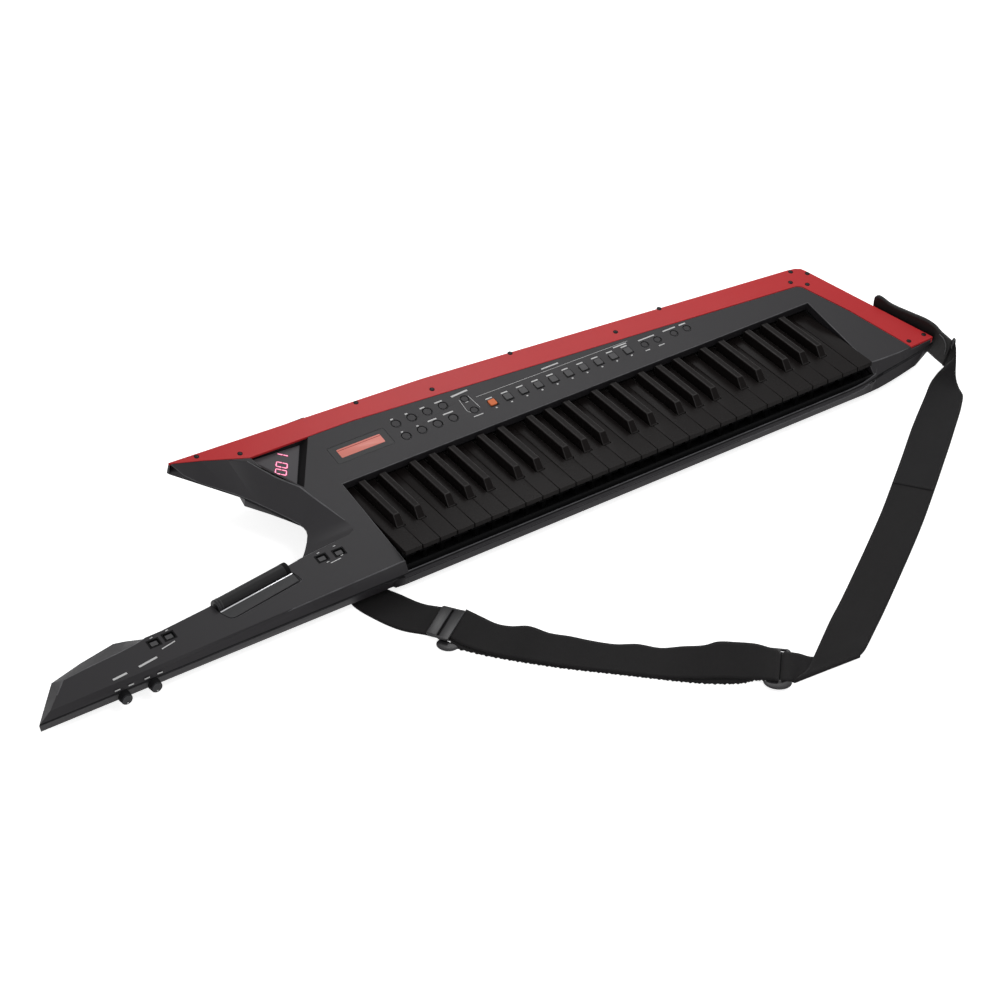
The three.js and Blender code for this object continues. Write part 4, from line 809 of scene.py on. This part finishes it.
digit_turn = radians(53.6)
digits = [("abcdef", -52.1, 187.2), ("abcdef", -45.5, 196.6), ("bc", -38.2, 207.6)]
for i, (shown, x, v) in enumerate(digits):
    for name, wide, rise, material in (("core", 1.35, -5.7, lit_core), ("glow", 2.3, -5.9, lit_glow)):
        set_down(f"digit_{name}_{i}", digit_shape(shown, wide, 0.15), [face_place(x, v, rise, digit_turn)],
                 "display_glass", material, smooth=False)
print("digits:", len(digits))

# %% [markdown]
# ## Screen
# The glass covers the whole pocket, and only a smaller window in it is lit, in a warm red. The lit area
# is a thin rounded plate just over the glass, with a fine dark line where the frame shades it.
# %% Lit screen
lit_screen = glowing(finish("lit screen", (0.50, 0.15, 0.12), (0.62, 0.20, 0.16), 0.3, 900, 0.004, 0.05,
                            specular=0.25), (1.0, 0.33, 0.27, 1), 0.2)
screen_shade = finish("screen shade", (0.30, 0.03, 0.03), (0.36, 0.04, 0.04), 0.5, 900, 0.004, 0.05,
                      specular=0.1)
set_down("screen_light", rounded_bar(59.5, 14.1, 0.2, 1.2, 0.06), [face_place(49.25, 176.15, 0.05)],
         "display_glass", lit_screen)
set_down("screen_line", rounded_bar(58.5, 0.7, 0.1, 0.2, 0.03, 1), [face_place(49.25, 180.6, 0.16)],
         "display_glass", screen_shade)
print("screen pieces:", 2)

# %% [markdown]
# ## Printed marks
# White bars and fine lines mark the groups of buttons, and four stand over the knobs. They are plain,
# so the face keeps its rhythm and says nothing. Each is one flat face just over the skin.
# %% Printed marks
print_lines = [
    (188.8, 196.8, 212.6, 198.1, 2.6), (194.5, 188, 192.8, 167.7, 0.6), (192.8, 167.7, 195.6, 163.4, 0.6),
    (208, 188.9, 210.4, 166.3, 0.6), (199.2, 180.7, 203.2, 180.7, 1.0), (194.6, 155.5, 208, 155.5, 1.3),
    (215.6, 183, 437.6, 180.3, 0.5), (313.5, 187, 338.2, 187, 1.9), (414.5, 177.9, 434.3, 177.9, 1.9),
    (449.9, 174, 474.3, 174, 1.9), (487.7, 174, 506.7, 174, 1.9), (512.3, 174, 522.4, 174, 1.9),
    (448.2, 155, 454.8, 155, 1.3), (468.1, 155, 476.9, 155, 1.3),
    (-309.9, 29.5, -306.3, 29.9, 1.0), (-290, 31.1, -286.4, 31.5, 1.0), (-305.3, 10.3, -287.4, 13.7, 1.4),
    (-372.1, -3.4, -354.4, -1.9, 2.6), (-339.1, -0.5, -315.5, 2.8, 2.6),
    (-84.9, 52.7, -81.5, 52.9, 1.0), (-63.3, 53.4, -59.9, 53.6, 1.0), (-82, 35.6, -78.6, 35.8, 1.0),
    (-78.2, 32.8, -64.3, 34, 1.1), (-62.6, 37.3, -59.2, 37.5, 1.0),
]
short_names = [
    (104.8, 197, 3.6), (125.1, 197, 3.6), (147.5, 196.9, 6.5), (170.2, 196.7, 10.5),
    (104.6, 173.4, 2.6), (126.4, 173.5, 3.0), (147.2, 174.1, 12), (170.6, 175.3, 14),
]
for x, v, long in short_names:
    print_lines.append((x - long / 2, v, x + long / 2, v, 2.0))
for x in program_x:
    print_lines.append((x - 4.6, 174, x + 4.6, 174, 1.8))
    print_lines.append((x - 1.2, 156.4, x + 1.2, 156.4, 1.9))


def line_place(x1, v1, x2, v2, wide, rise=0.07):
    length = hypot(x2 - x1, v2 - v1)
    middle = face_place((x1 + x2) / 2, (v1 + v2) / 2, rise, atan2(v2 - v1, x2 - x1))
    return middle @ Matrix.Diagonal((length * mm, wide * mm, 1, 1))


def marks(name, shape, places, material):
    set_down(name, shape, places, None, material, smooth=False)


marks("printed_marks", square(0.5), [line_place(*line) for line in print_lines], white_print)
to_front = Matrix.Rotation(pi / 2, 4, "X")
flat_size = Matrix.Diagonal((6.5 * mm, 1.7 * mm, 1, 1))
knob_marks = [Matrix.Translation(at(x, -11.05, -18.8)) @ to_front @ flat_size
              for x in (-371.3, -354.9, -335.5, -319.9)]
marks("knob_marks", square(0.5), knob_marks, white_print)
print("printed marks:", len(print_lines) + len(knob_marks))

# %% [markdown]
# The gaps round plates and buttons are narrower than a pixel, so the same flat faces in the dark finish
# stand for the shadow in them. Round caps get a thin flat ring, a little long up the face.
# %% Shadows in narrow gaps
corners = [
    (-123.6, 39), (-122.8, 26.4), (-209, 13), (-214, 12.8), (-217.7, 14.1), (-219.9, 16.9), (-224.6, 26.2),
]
gaps = [line_place(*a, *b, 0.9) for a, b in zip(corners, corners[1:])]
for x, v in small_spots:
    gaps += [line_place(x - 7.6, v + side, x + 7.6, v + side, 1.5, 0.05) for side in (-5.3, 5.3)]
    gaps += [line_place(x + side, v - 5.3, x + side, v + 5.3, 1.5, 0.05) for side in (-6.9, 6.9)]
for x in program_x:
    gaps.append(line_place(x - 5.6, 160, x + 6.4, 160, 1.3, 0.05))
    gaps.append(line_place(x + 5.8, 160, x + 5.8, 171, 1.2, 0.05))
marks("gap_shadows", square(0.5), gaps, shade_and_dark_plastic)
caps = [(105.9 + 22.1 * i, v, 5.9) for i in range(4) for v in (166, 189.2)]
caps += [(201.8, 165.5, 5.2), (201.8, 187, 5.2)] + [(x, 165.5, 5.0) for x in (454, 473.5, 499, 518.9)]
for i, (x, v, radius) in enumerate(caps):
    crescent = turned([(radius, 0.04), (radius + 0.55, 0.04)], 32)
    bmesh.ops.scale(crescent, vec=(1, 1.07, 1), verts=crescent.verts)
    marks(f"cap_shadow_{i}", crescent, [face_place(x, v - 0.45, 0)], shade_and_dark_plastic)
print("gap shadows:", len(gaps), "rings:", len(caps))

# %% [markdown]
# ## Bar, strip and knob dots
# A bright strip lies between the ribbon plate and the bar. The bar has two turned rings at its left end
# and a black collar at its right end. Each knob carries one white dot, low on its face.
# %% Bar, strip and knob dots
bar_turn = atan2(40.2 - 27.3, -124.5 + 223.8)
bar_run = Vector((cos(bar_turn), sin(bar_turn)))
bar_side = Vector((-sin(bar_turn), cos(bar_turn)))
bar_middle = Vector((-174.15, 33.75))


def beside_bar(along, across, rise):
    spot = bar_middle + bar_run * along + bar_side * across
    return face_place(spot.x, spot.y, rise, bar_turn)


set_down("bright_strip", rounded_bar(99.5, 1.7, 0.6, 0.4, 0.15), [beside_bar(0, -0.6, 0.15)],
         "pin_metal", bright_metal)
lie_down = Matrix.Rotation(pi / 2, 4, "Y")
ring = [(8.45, -1.0), (8.75, -0.8), (8.85, -0.3), (8.85, 0.3), (8.75, 0.8), (8.45, 1.0)]
collar = [(8.4, -2.6), (8.6, -2.5), (8.6, 2.5), (8.4, 2.6)]
set_down("bar_rings", turned(ring, 40), [beside_bar(along, 9.4, -1.8) @ lie_down for along in (-47.5, -44)],
         "satin_plastic", satin)
set_down("bar_collar", turned(collar, 40), [beside_bar(46.5, 9.4, -1.8) @ lie_down],
         "dark_plastic", shade_and_dark_plastic)
dot = [(0, 0.12), (0.8, 0.1), (0.95, 0.0)]
for name, x in (("volume_knob", -365), ("control_knob", -329)):
    set_down(name + "_dot", turned(dot, 16), [Matrix.Translation(at(x, -20.4, -33)) @ to_front],
             None, white_print, body=body_of(name))
print("bar length:", 99.5, "turned by", round(bar_turn, 4))

# %% [markdown]
# ## Underside
# Four rubber pads cap the feet, and ridges on the battery cover give the thumb a grip. None of this shows
# from the front, so its look is a guess at common practice.
# %% Underside
pad = [(0, 0), (7.8, 0), (8.9, 0.4), (9.15, 1.0), (9.15, 2.2), (8.95, 2.3)]
feet = [Matrix.Translation(at(x, y, -51.3)) for x, y in ((45, 28), (45, 178), (660, 28), (636, 160))]
set_down("foot_pads", turned(pad, 32), feet, "bar_rubber", rubber)
ridges = [Matrix.Translation(at(x, y, -47.2)) for x in (290, 380) for y in range(68, 84, 4)]
set_down("cover_ridges", rounded_bar(22, 1.6, 1.0, 0.7, 0.3, 3), ridges, "housing", black_shell)

# %% [markdown]
# ## Webbing
# The strap is flat woven webbing, 51 mm wide. Each run starts as a grid whose points are then laid
# between two lines, one for each edge of the webbing, so it keeps its width while it bends, weaves
# through the buckles and folds over itself. The grid carries a UV map in metres for the weave.
# %% Two smooth lines


def line_through(stations, spacing=4.0):
    """Evenly dense pairs of points on two smooth lines, from stations (near edge, far edge) in mm."""
    near = [Vector(s[:3]) for s in stations]
    far = [Vector(s[3:]) for s in stations]
    middle = [(a + b) / 2 for a, b in zip(near, far)]
    steps = [max((b - a).length, 0.5) for a, b in zip(middle, middle[1:])]
    lines = []
    for side in (near, far):
        slopes = []
        for i in range(len(side)):
            before, after = max(i - 1, 0), min(i + 1, len(side) - 1)
            slopes.append((side[after] - side[before]) / sum(steps[before:after]))
        line = []
        for i, step in enumerate(steps):
            count = max(3, round(step / spacing)) + 1
            piece = interpolate_bezier(side[i], side[i] + slopes[i] * step / 3,
                                       side[i + 1] - slopes[i + 1] * step / 3, side[i + 1], count)
            line += piece if i == len(steps) - 1 else piece[:-1]
        lines.append(line)
    return list(zip(*lines))


straight = [(0, 0, 0, 51, 0, 0), (0, 100, 0, 51, 100, 0)]
print("pairs of points on a straight 100 mm:", len(line_through(straight)))

# %% [markdown]
# The grid is twelve cells wide and has one row for each pair of points. A slow ripple lifts it a little
# here and there, and the near edge can be ragged, as worn webbing is.
# %% Webbing helper
cells_across = 12
short_wave, long_wave = 23.0, 61.0
fine_tooth, coarse_tooth = 0.75, 1.3


def webbing_run(name, stations, thick, material, slot, waves=0.0, lift=0.0, inset=0.0, ragged=0.0,
                spacing=4.0):
    pairs = line_through(stations, spacing)
    rows = len(pairs) - 1
    shape = bmesh.new()
    uv = shape.loops.layers.uv.new("UVMap")
    bmesh.ops.create_grid(shape, x_segments=cells_across, y_segments=rows, size=1, calc_uvs=True)
    lengths = [0.0]
    for (a, b), (c, d) in zip(pairs, pairs[1:]):
        lengths.append(lengths[-1] + ((c + d) / 2 - (a + b) / 2).length)
    width = (pairs[0][1] - pairs[0][0]).length
    spots = {}
    for vert in shape.verts:
        share = (vert.co.x + 1) / 2
        row = round((vert.co.y + 1) / 2 * rows)
        spots[vert.index] = (share, row)
    for vert in shape.verts:
        share, row = spots[vert.index]
        near, far = pairs[row]
        ahead = pairs[min(row + 1, rows)]
        behind = pairs[max(row - 1, 0)]
        along = (ahead[0] + ahead[1] - behind[0] - behind[1]).normalized()
        side = (far - near).normalized()
        travel = lengths[row]
        ripple = waves * sin(travel / short_wave + share * 1.7) * sin(travel / long_wave) * (0.4 + share)
        inward = inset * (1 - 2 * share)
        if share < 0.01:
            inward -= ragged * (sin(travel / fine_tooth) + 0.6 * sin(travel / coarse_tooth + 2))
        vert.co = at(*(near.lerp(far, share) + side * inward + along.cross(side) * (lift + ripple)))
    for face in shape.faces:
        for loop in face.loops:
            share, row = spots[loop.vert.index]
            loop[uv].uv = (share * width * mm, lengths[row] * mm)
    piece = link_piece(name, mesh_of(name, shape), "case", slot, material)
    piece.data.shade_smooth()
    solid = piece.modifiers.new("thickness", "SOLIDIFY")
    solid.thickness = thick * mm
    solid.offset = 0
    return piece, width * mm, lengths[-1] * mm


print("ripple lengths in mm:", round(2 * pi * short_wave), "and", round(2 * pi * long_wave))

# %% [markdown]
# ## Weave
# Webbing shows ribs across its width, each with a fine twill of crossing yarns, and it scatters light
# at a grazing angle. The ribs come from two sine waves on the UV map, which is in metres, so one rib is
# 1.3 mm wherever the strap goes.
# %% Weave group and webbing finish
weave, inside, outside = node_group("flat weave", {"Ribs": 760.0, "Yarns": 900.0}, ("Height", "Shade"))
flat = weave.nodes.new("ShaderNodeUVMap")
flat.uv_map = "UVMap"
apart = weave.nodes.new("ShaderNodeSeparateXYZ")
weave.links.new(flat.outputs[0], apart.inputs[0])
rib = times(weave, apart.outputs["Y"], times(weave, inside["Ribs"], 2 * pi))
yarn = times(weave, apart.outputs["X"], times(weave, inside["Yarns"], 2 * pi))
ribbed = math_node(weave, "SINE", rib, 0.0)
crossed = math_node(weave, "SINE", plus(weave, yarn, times(weave, rib, 0.5)), 0.0)
height = plus(weave, times(weave, ribbed, 0.5), times(weave, crossed, 0.3))
fuzz = noise_node(weave, object_place(weave), 700.0, 3.0, 0.7)
weave.links.new(plus(weave, height, times(weave, fuzz, 0.6)), outside["Height"])
weave.links.new(times(weave, height, 0.3), outside["Shade"])


def woven(name, colour, second, ribs=760.0, yarns=900.0, depth=0.15):
    material, tree, shader = new_material(name)
    cloth = place_group(tree, weave, Ribs=ribs, Yarns=yarns)
    handled = place_group(tree, handling, Amount=0.15)
    blend = plus(tree, cloth.outputs["Shade"], handled.outputs["Cloud"], clamp=True)
    tree.links.new(mix_colour(tree, blend, colour, second), shader.inputs["Base Color"])
    rough_and_bump(tree, shader, handled, 0.82, cloth.outputs["Height"], 0.8, depth)
    set_inputs(shader, Sheen_Weight=0.08, Specular_IOR_Level=0.2, Sheen_Roughness=0.4)
    return material


black_webbing = woven("black nylon webbing", (0.004, 0.0037, 0.004), (0.012, 0.011, 0.0115))
label_webbing = woven("sewn label cloth", (0.007, 0.0066, 0.0072), (0.011, 0.0105, 0.0115), 1500.0, 1500.0,
                      0.06)
print("weave nodes:", len(weave.nodes))

# %% [markdown]
# ## The strap, run by run
# The tail comes down behind the body from its pin, passes under the body and weaves through the ring.
# From there the strap is doubled: it returns on itself through the slider, so two layers lie on each
# other and never quite match. Past the slider a single layer folds over at a crease and runs back to
# the right wall.
# %% Tail and doubled run
tail_line = [
    (-30, 254.2, 26, 20, 254.2, 26), (-30, 254.2, -24, 20, 254.2, -24), (-30, 252.8, -38, 20, 252.8, -38),
    (-31, 248.5, -47.5, 19, 248.5, -47.5), (-31, 236, -50.2, 19, 236, -50.2),
    (-32, 190, -50.2, 18, 190, -50.2), (-42, 90, -50.2, 8, 93, -50.2), (-60, 24, -50.2, -13, 34, -50.2),
    (-68, 6, -50.2, -23, 18, -50.2), (-60, -30, -50.2, -12, -12, -50.2), (-46, -62, -50.2, -1, -37, -50.2),
    (-26.7, -84.7, -50.2, 14.8, -55.4, -50.2), (-23.7, -89, -50.2, 17.8, -59.7, -50.2),
    (-20.1, -94.1, -47.6, 21.4, -64.8, -47.6), (-17.2, -98.2, -47.6, 24.3, -68.9, -47.6),
    (-13.6, -103.3, -50.2, 27.9, -74, -50.2), (-11.5, -106.3, -50.2, 30, -77, -50.2),
]
pair_line = [
    (-10.8, -107.3, -46.6, 30.7, -78, -45.4), (-5.7, -120.3, -49, 41.1, -100.4, -48),
    (0.3, -133, -49, 45.5, -109.8, -49), (8.4, -146.7, -49, 50.5, -118.4, -49),
    (19.4, -161, -49, 58.5, -128.6, -47.4), (33.9, -177.5, -49, 71.4, -143.8, -42.5),
    (50, -195.3, -49, 87.5, -161, -48.5), (66.4, -212.8, -49, 103, -177.7, -49),
    (84.8, -231.2, -49, 119, -197.6, -49), (103.7, -249.1, -49, 137.5, -216.5, -49),
    (122.6, -266.9, -49, 157.4, -229.9, -48.7), (141.5, -284.7, -49, 175.4, -249.6, -49),
    (160.7, -302.3, -49, 194.4, -264.5, -44.6), (180.6, -319, -49, 211.3, -279.5, -40),
    (200.1, -333, -49, 228.5, -283.5, -40), (217.1, -343.5, -49, 245, -296, -40),
    (230, -350.5, -47, 262, -309, -41.5), (237.5, -361.5, -43.6, 272, -322.5, -42.5),
    (242.5, -367, -43.2, 276.3, -328.3, -43), (245.2, -369, -46.5, 278.5, -330.3, -46.5),
]


def edge_moved(stations, steps):
    """The same run with its near edge moved out by the given millimetres at each station."""
    rows = []
    for row, step in zip(stations, steps):
        near, far = Vector(row[:3]), Vector(row[3:])
        rows.append((*(near + (near - far).normalized() * step), *far))
    return rows


tail, width, length = webbing_run("strap_tail_webbing", tail_line, 1.5, black_webbing, "strap_webbing")
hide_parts("strap_tail")
lower_steps = [2, 6, 4, 2.5, 1.8, 1.8, 1.5, 1.2, 0.8, 0.6, 0.6, 0.8, 1.2, 1.6, 1.6, 1.0, 0, 0, 0, 0]
upper_steps = [0] * 12 + [-1.5, -3.5, -5, -3] + [0] * 4
layers = [
    ("strap_lower_layer", -0.85, 0.1, lower_steps, 0.7),
    ("strap_upper_layer", 0.85, 0.35, upper_steps, 0.12),
]
for name, lift, waves, steps, ragged in layers:
    layer, width, length = webbing_run(name, edge_moved(pair_line, steps), 1.5, black_webbing,
                                       "strap_webbing", waves, lift, ragged=ragged, spacing=1.3)
    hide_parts("strap_webbing")
    print(name, "length", round(length, 3))

# %% [markdown]
# The crease is the only place where the webbing turns over. One station is set a little outside it, at
# half height, so that the smooth line rounds the fold as thick webbing does.
# %% Single run, fold and outer run
single_line = [
    (247.5, -370.5, -46.5, 280.5, -332.3, -46.5), (250, -371.3, -43.8, 283, -334.2, -43.9),
    (253.6, -372.4, -44.5, 286.5, -336.2, -44.6), (258, -372.6, -47, 290.7, -338.5, -45.8),
    (262.4, -373, -49.6, 297.3, -342.9, -47.5), (263.4, -373.4, -50.2, 306, -351, -50.2),
    (264, -374, -50.2, 330, -368, -50.2), (264.2, -374.8, -50.2, 350.5, -380.8, -50.2),
]
fold = [(264.2, -375.2, -49.1, 350.9, -381.7, -49.1)]
outer_line = [
    (264.5, -373.8, -48, 351, -381.3, -48), (288, -367.5, -48, 360.5, -377.6, -48),
    (309, -353.3, -48, 371.1, -371.3, -48.1), (362, -316, -48.8, 391, -358, -49),
    (396.2, -293.5, -50.2, 424.3, -335.9, -50.2), (444.9, -260.4, -50.2, 473.9, -302.1, -50.2),
    (494.3, -226.2, -50.2, 523.3, -268, -50.2), (542.1, -192.2, -50.2, 572.1, -233.1, -50.2),
    (588.6, -156.8, -50.2, 619.9, -196.8, -50.2), (636.3, -119.9, -50.2, 667.3, -160.1, -50.2),
    (682.5, -83.5, -50.2, 714.5, -123, -50.2), (744, -38.5, -50.2, 779, -69, -50.2),
    (766, -22.5, -50.2, 787.5, -51, -48.6), (784, -13.3, -50.2, 793, -37.5, -41),
    (798.5, -8, -50.3, 802.8, -24, -24), (804.6, -4.6, -50.2, 808.6, -14.6, -12.4),
    (803.6, -1.2, -49.5, 807.6, -8.5, -9.5),
]
single, width, length = webbing_run("strap_folded_run", single_line + fold + outer_line, 1.5, black_webbing,
                                    "strap_webbing", 0.15)
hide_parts("strap_webbing", "strap_upper")
print("folded run length", round(length, 3))

# %% [markdown]
# ## Leather end
# The strap ends in a stitched leather piece that stands on edge along the right wall and is held by a
# pin. It is a thicker run along its own line.
# %% Leather end
end_line = [
    (805.8, -3.1, -50, 809.2, -12.6, -12), (800.4, 7.8, -43.5, 801.4, 5.1, -1.5),
    (796.2, 18, -37.5, 798, 13.4, 5), (792.8, 26.8, -34, 793.2, 25.8, 9),
    (785.2, 45.7, -31, 785.2, 45.7, 10.7), (774.4, 72.5, -26, 774.4, 72.5, 13.5),
    (768.4, 87.4, -22, 768.4, 87.4, 19), (766, 93.4, -20, 766, 93.4, 15.8),
    (765.6, 94.4, -13, 765.6, 94.4, 9),
]
end, width, length = webbing_run("leather_end", end_line, 3.0, leather, "strap_leather")
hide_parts("strap_end")
print("leather end length", round(length, 3))

# %% [markdown]
# ## Sewn label and stitches
# A second, smoother cloth is sewn on the upper strap as a bare label. One small stitch is made once and
# set down along the label and across its end, and a slightly larger one along the leather.
# %% Label and stitches
label_line = outer_line[8:15]
label, width, length = webbing_run("strap_label", label_line, 0.7, label_webbing, "strap_webbing",
                                   lift=-1.15, inset=0.5)
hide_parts("strap_upper")
thread = finish("black thread", (0.02, 0.019, 0.019), (0.035, 0.033, 0.033), 0.6, 3000, 0.02, specular=0.25)


def run_places(stations, pitch, from_edge, lift):
    """Places along a run, a fixed way in from its near edge (or its far edge, when negative)."""
    places = []
    pairs = line_through(stations, pitch)
    for (near, far), (near_on, far_on) in zip(pairs, pairs[1:]):
        side = (far - near).normalized()
        along = (near_on + far_on - near - far).normalized()
        up = along.cross(side)
        spot = (near + side * from_edge if from_edge > 0 else far + side * from_edge) + up * lift
        turn = Matrix((along, up.cross(along), up)).transposed().to_4x4()
        places.append(Matrix.Translation(at(*spot)) @ turn)
    return places


places = run_places(label_line, 3.2, 2.4, -1.55) + run_places(label_line, 3.2, -2.4, -1.55)
first, second = Vector(label_line[0][:3]), Vector(label_line[0][3:])
seam_turn = atan2(second.y - first.y, second.x - first.x)
for i in range(15):
    for step in (1.6, 3.4):
        spot = first.lerp(second, (i + 0.9) / 16) + Vector((0.8, 0.6, 0)) * step + Vector((0, 0, 1.6))
        places.append(Matrix.Translation(at(*spot)) @ about_z(seam_turn))
set_down("label_stitches", rounded_bar(2.1, 0.5, 0.35, 0.2, 0.1, 1), places, "strap_webbing", thread)
places = []
for lift in (-1.6, 1.6):
    places += run_places(end_line[:-1], 3.4, 3.0, lift) + run_places(end_line[:-1], 3.4, -3.0, lift)
set_down("leather_stitches", rounded_bar(2.4, 0.6, 0.4, 0.2, 0.12, 1), places, "strap_leather", thread)
print("label length", round(length, 3), "stitches:", len(places))

# %% [markdown]
# ## Ring and slider
# The ring is two flat bars across the strap, joined at their ends by two narrow ones. Ring and slider
# each end in half a domed disc, cut off where the webbing covers it, and a dark strip of painted
# shadow lies under the slider's slit.
# %% Ring and slider


def buckle_place(centre, heading, along, across, z, tip=0.0):
    turn = radians(heading)
    x = centre[0] + along * cos(turn) - across * sin(turn)
    y = centre[1] + along * sin(turn) + across * cos(turn)
    return Matrix.Translation(at(x, y, z)) @ about_z(turn) @ Matrix.Rotation(radians(tip), 4, "Y")


dome = [(0, 1.25), (5, 1.15), (8, 0.8), (9.6, 0.2), (10, -0.3), (9.4, -0.9), (0, -1.2)]


def rounded_end(long, deep, cut, slant):
    """Half of a domed disc, cut off along a slanted line where the webbing covers it."""
    shape = turned(dome, 40)
    bmesh.ops.scale(shape, vec=(long / 10, deep / 10, 1), verts=shape.verts)
    sliced(shape, (0, -cut * mm, 0), (sin(slant), cos(slant), 0), clear_outer=True)
    bmesh.ops.holes_fill(shape, edges=shape.edges, sides=0)
    return shape


ring_frame, slider_frame = ((2.1, -81.5), -54.8), ((264, -345), -42)
ring_bars = [
    ("ring_left_bar", -6.9, -4.5, 12.4, 50, 3), ("ring_right_bar", 8.1, -5.5, 12.6, 55, -4),
    ("ring_far_bar", 0, 20.5, 25, 3, 0), ("ring_near_bar", 0, -30.5, 22, 3, 0),
]
for name, along, across, wide, tall, tip in ring_bars:
    bar = set_down(name, rounded_bar(wide, tall, 2.4, 1.2, 0.9, 3),
                   [buckle_place(*ring_frame, along, across, -44.4, tip)], "buckle_plastic", buckle)
    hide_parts("strap_ring")
# A dark strip of painted shadow under the slider's slit.
set_down("slider_slit_shadow", rounded_bar(10, 54, 1.2, 0.6, 0.3, 2), [buckle_place(*slider_frame, 4.6, -0.3, -49.9)],
         "dark_plastic", shade_and_dark_plastic)
set_down("ring_end", rounded_end(13, 11.5, -3.2, 0.28), [buckle_place(*ring_frame, 14.5, -33, -49.2)],
         "buckle_plastic", buckle)
set_down("slider_end", rounded_end(15.8, 13, 0.4, -0.1), [buckle_place(*slider_frame, 1.6, -28.3, -45.6)],
         "buckle_plastic", buckle)
print("ring bars:", len(ring_bars))

# %% [markdown]
# ## Piping and keeper loop
# The leather has a grey piping at its end. It is a circle that is extruded from point to point and
# turned at each bend. A small flattened keeper loop holds the webbing there.
# %% Piping and keeper loop


def rod(points, radius, sides):
    spots = [at(*point) for point in points]
    runs = [(b - a).normalized() for a, b in zip(spots, spots[1:])]
    shape = bmesh.new()
    circle = bmesh.ops.create_circle(shape, cap_ends=True, segments=sides, radius=radius * mm)["verts"]
    turn = Vector((0, 0, 1)).rotation_difference(runs[0]).to_matrix()
    bmesh.ops.rotate(shape, matrix=turn, verts=circle)
    bmesh.ops.translate(shape, vec=spots[0], verts=circle)
    front = list(shape.edges)
    for i in range(1, len(spots)):
        made = bmesh.ops.extrude_edge_only(shape, edges=front)["geom"]
        moved = [part for part in made if isinstance(part, bmesh.types.BMVert)]
        front = [part for part in made
                 if isinstance(part, bmesh.types.BMEdge) and all(v in moved for v in part.verts)]
        bmesh.ops.translate(shape, vec=spots[i] - spots[i - 1], verts=moved)
        if i < len(runs):
            turn = runs[i - 1].rotation_difference(runs[i]).to_matrix()
            bmesh.ops.rotate(shape, cent=spots[i], matrix=turn, verts=moved)
    bmesh.ops.holes_fill(shape, edges=front, sides=0)
    bmesh.ops.recalc_face_normals(shape, faces=shape.faces)
    return shape


piping_finish = finish("grey piping", (0.10, 0.098, 0.10), (0.15, 0.148, 0.15), 0.35, 1500, 0.02)
piping = [(798.2, 4.6, -4.0), (800.6, -0.4, -7.5), (802.0, -4.2, -14), (802.4, -5.4, -22), (801.8, -4.6, -31)]
set_down("leather_piping", rod(piping, 0.55, 8), [Matrix.Identity(4)], "strap_leather", piping_finish)
loop = [(6.2 + 1.2 * cos(2 * pi * i / 10), 1.2 * sin(2 * pi * i / 10)) for i in range(11)]
loop_turn = about_z(radians(25)) @ to_front @ Matrix.Diagonal((0.62, 1.15, 1.3, 1))
set_down("keeper_loop", turned(loop, 28), [Matrix.Translation(at(808.4, -11.4, -13)) @ loop_turn],
         "buckle_plastic", buckle)

# %% [markdown]
# ## Last step
# The box of the solids is printed once more.
# %% Sizes and finish
print("cad", [[round(c, 4) for c in corner] for corner in cad_box])
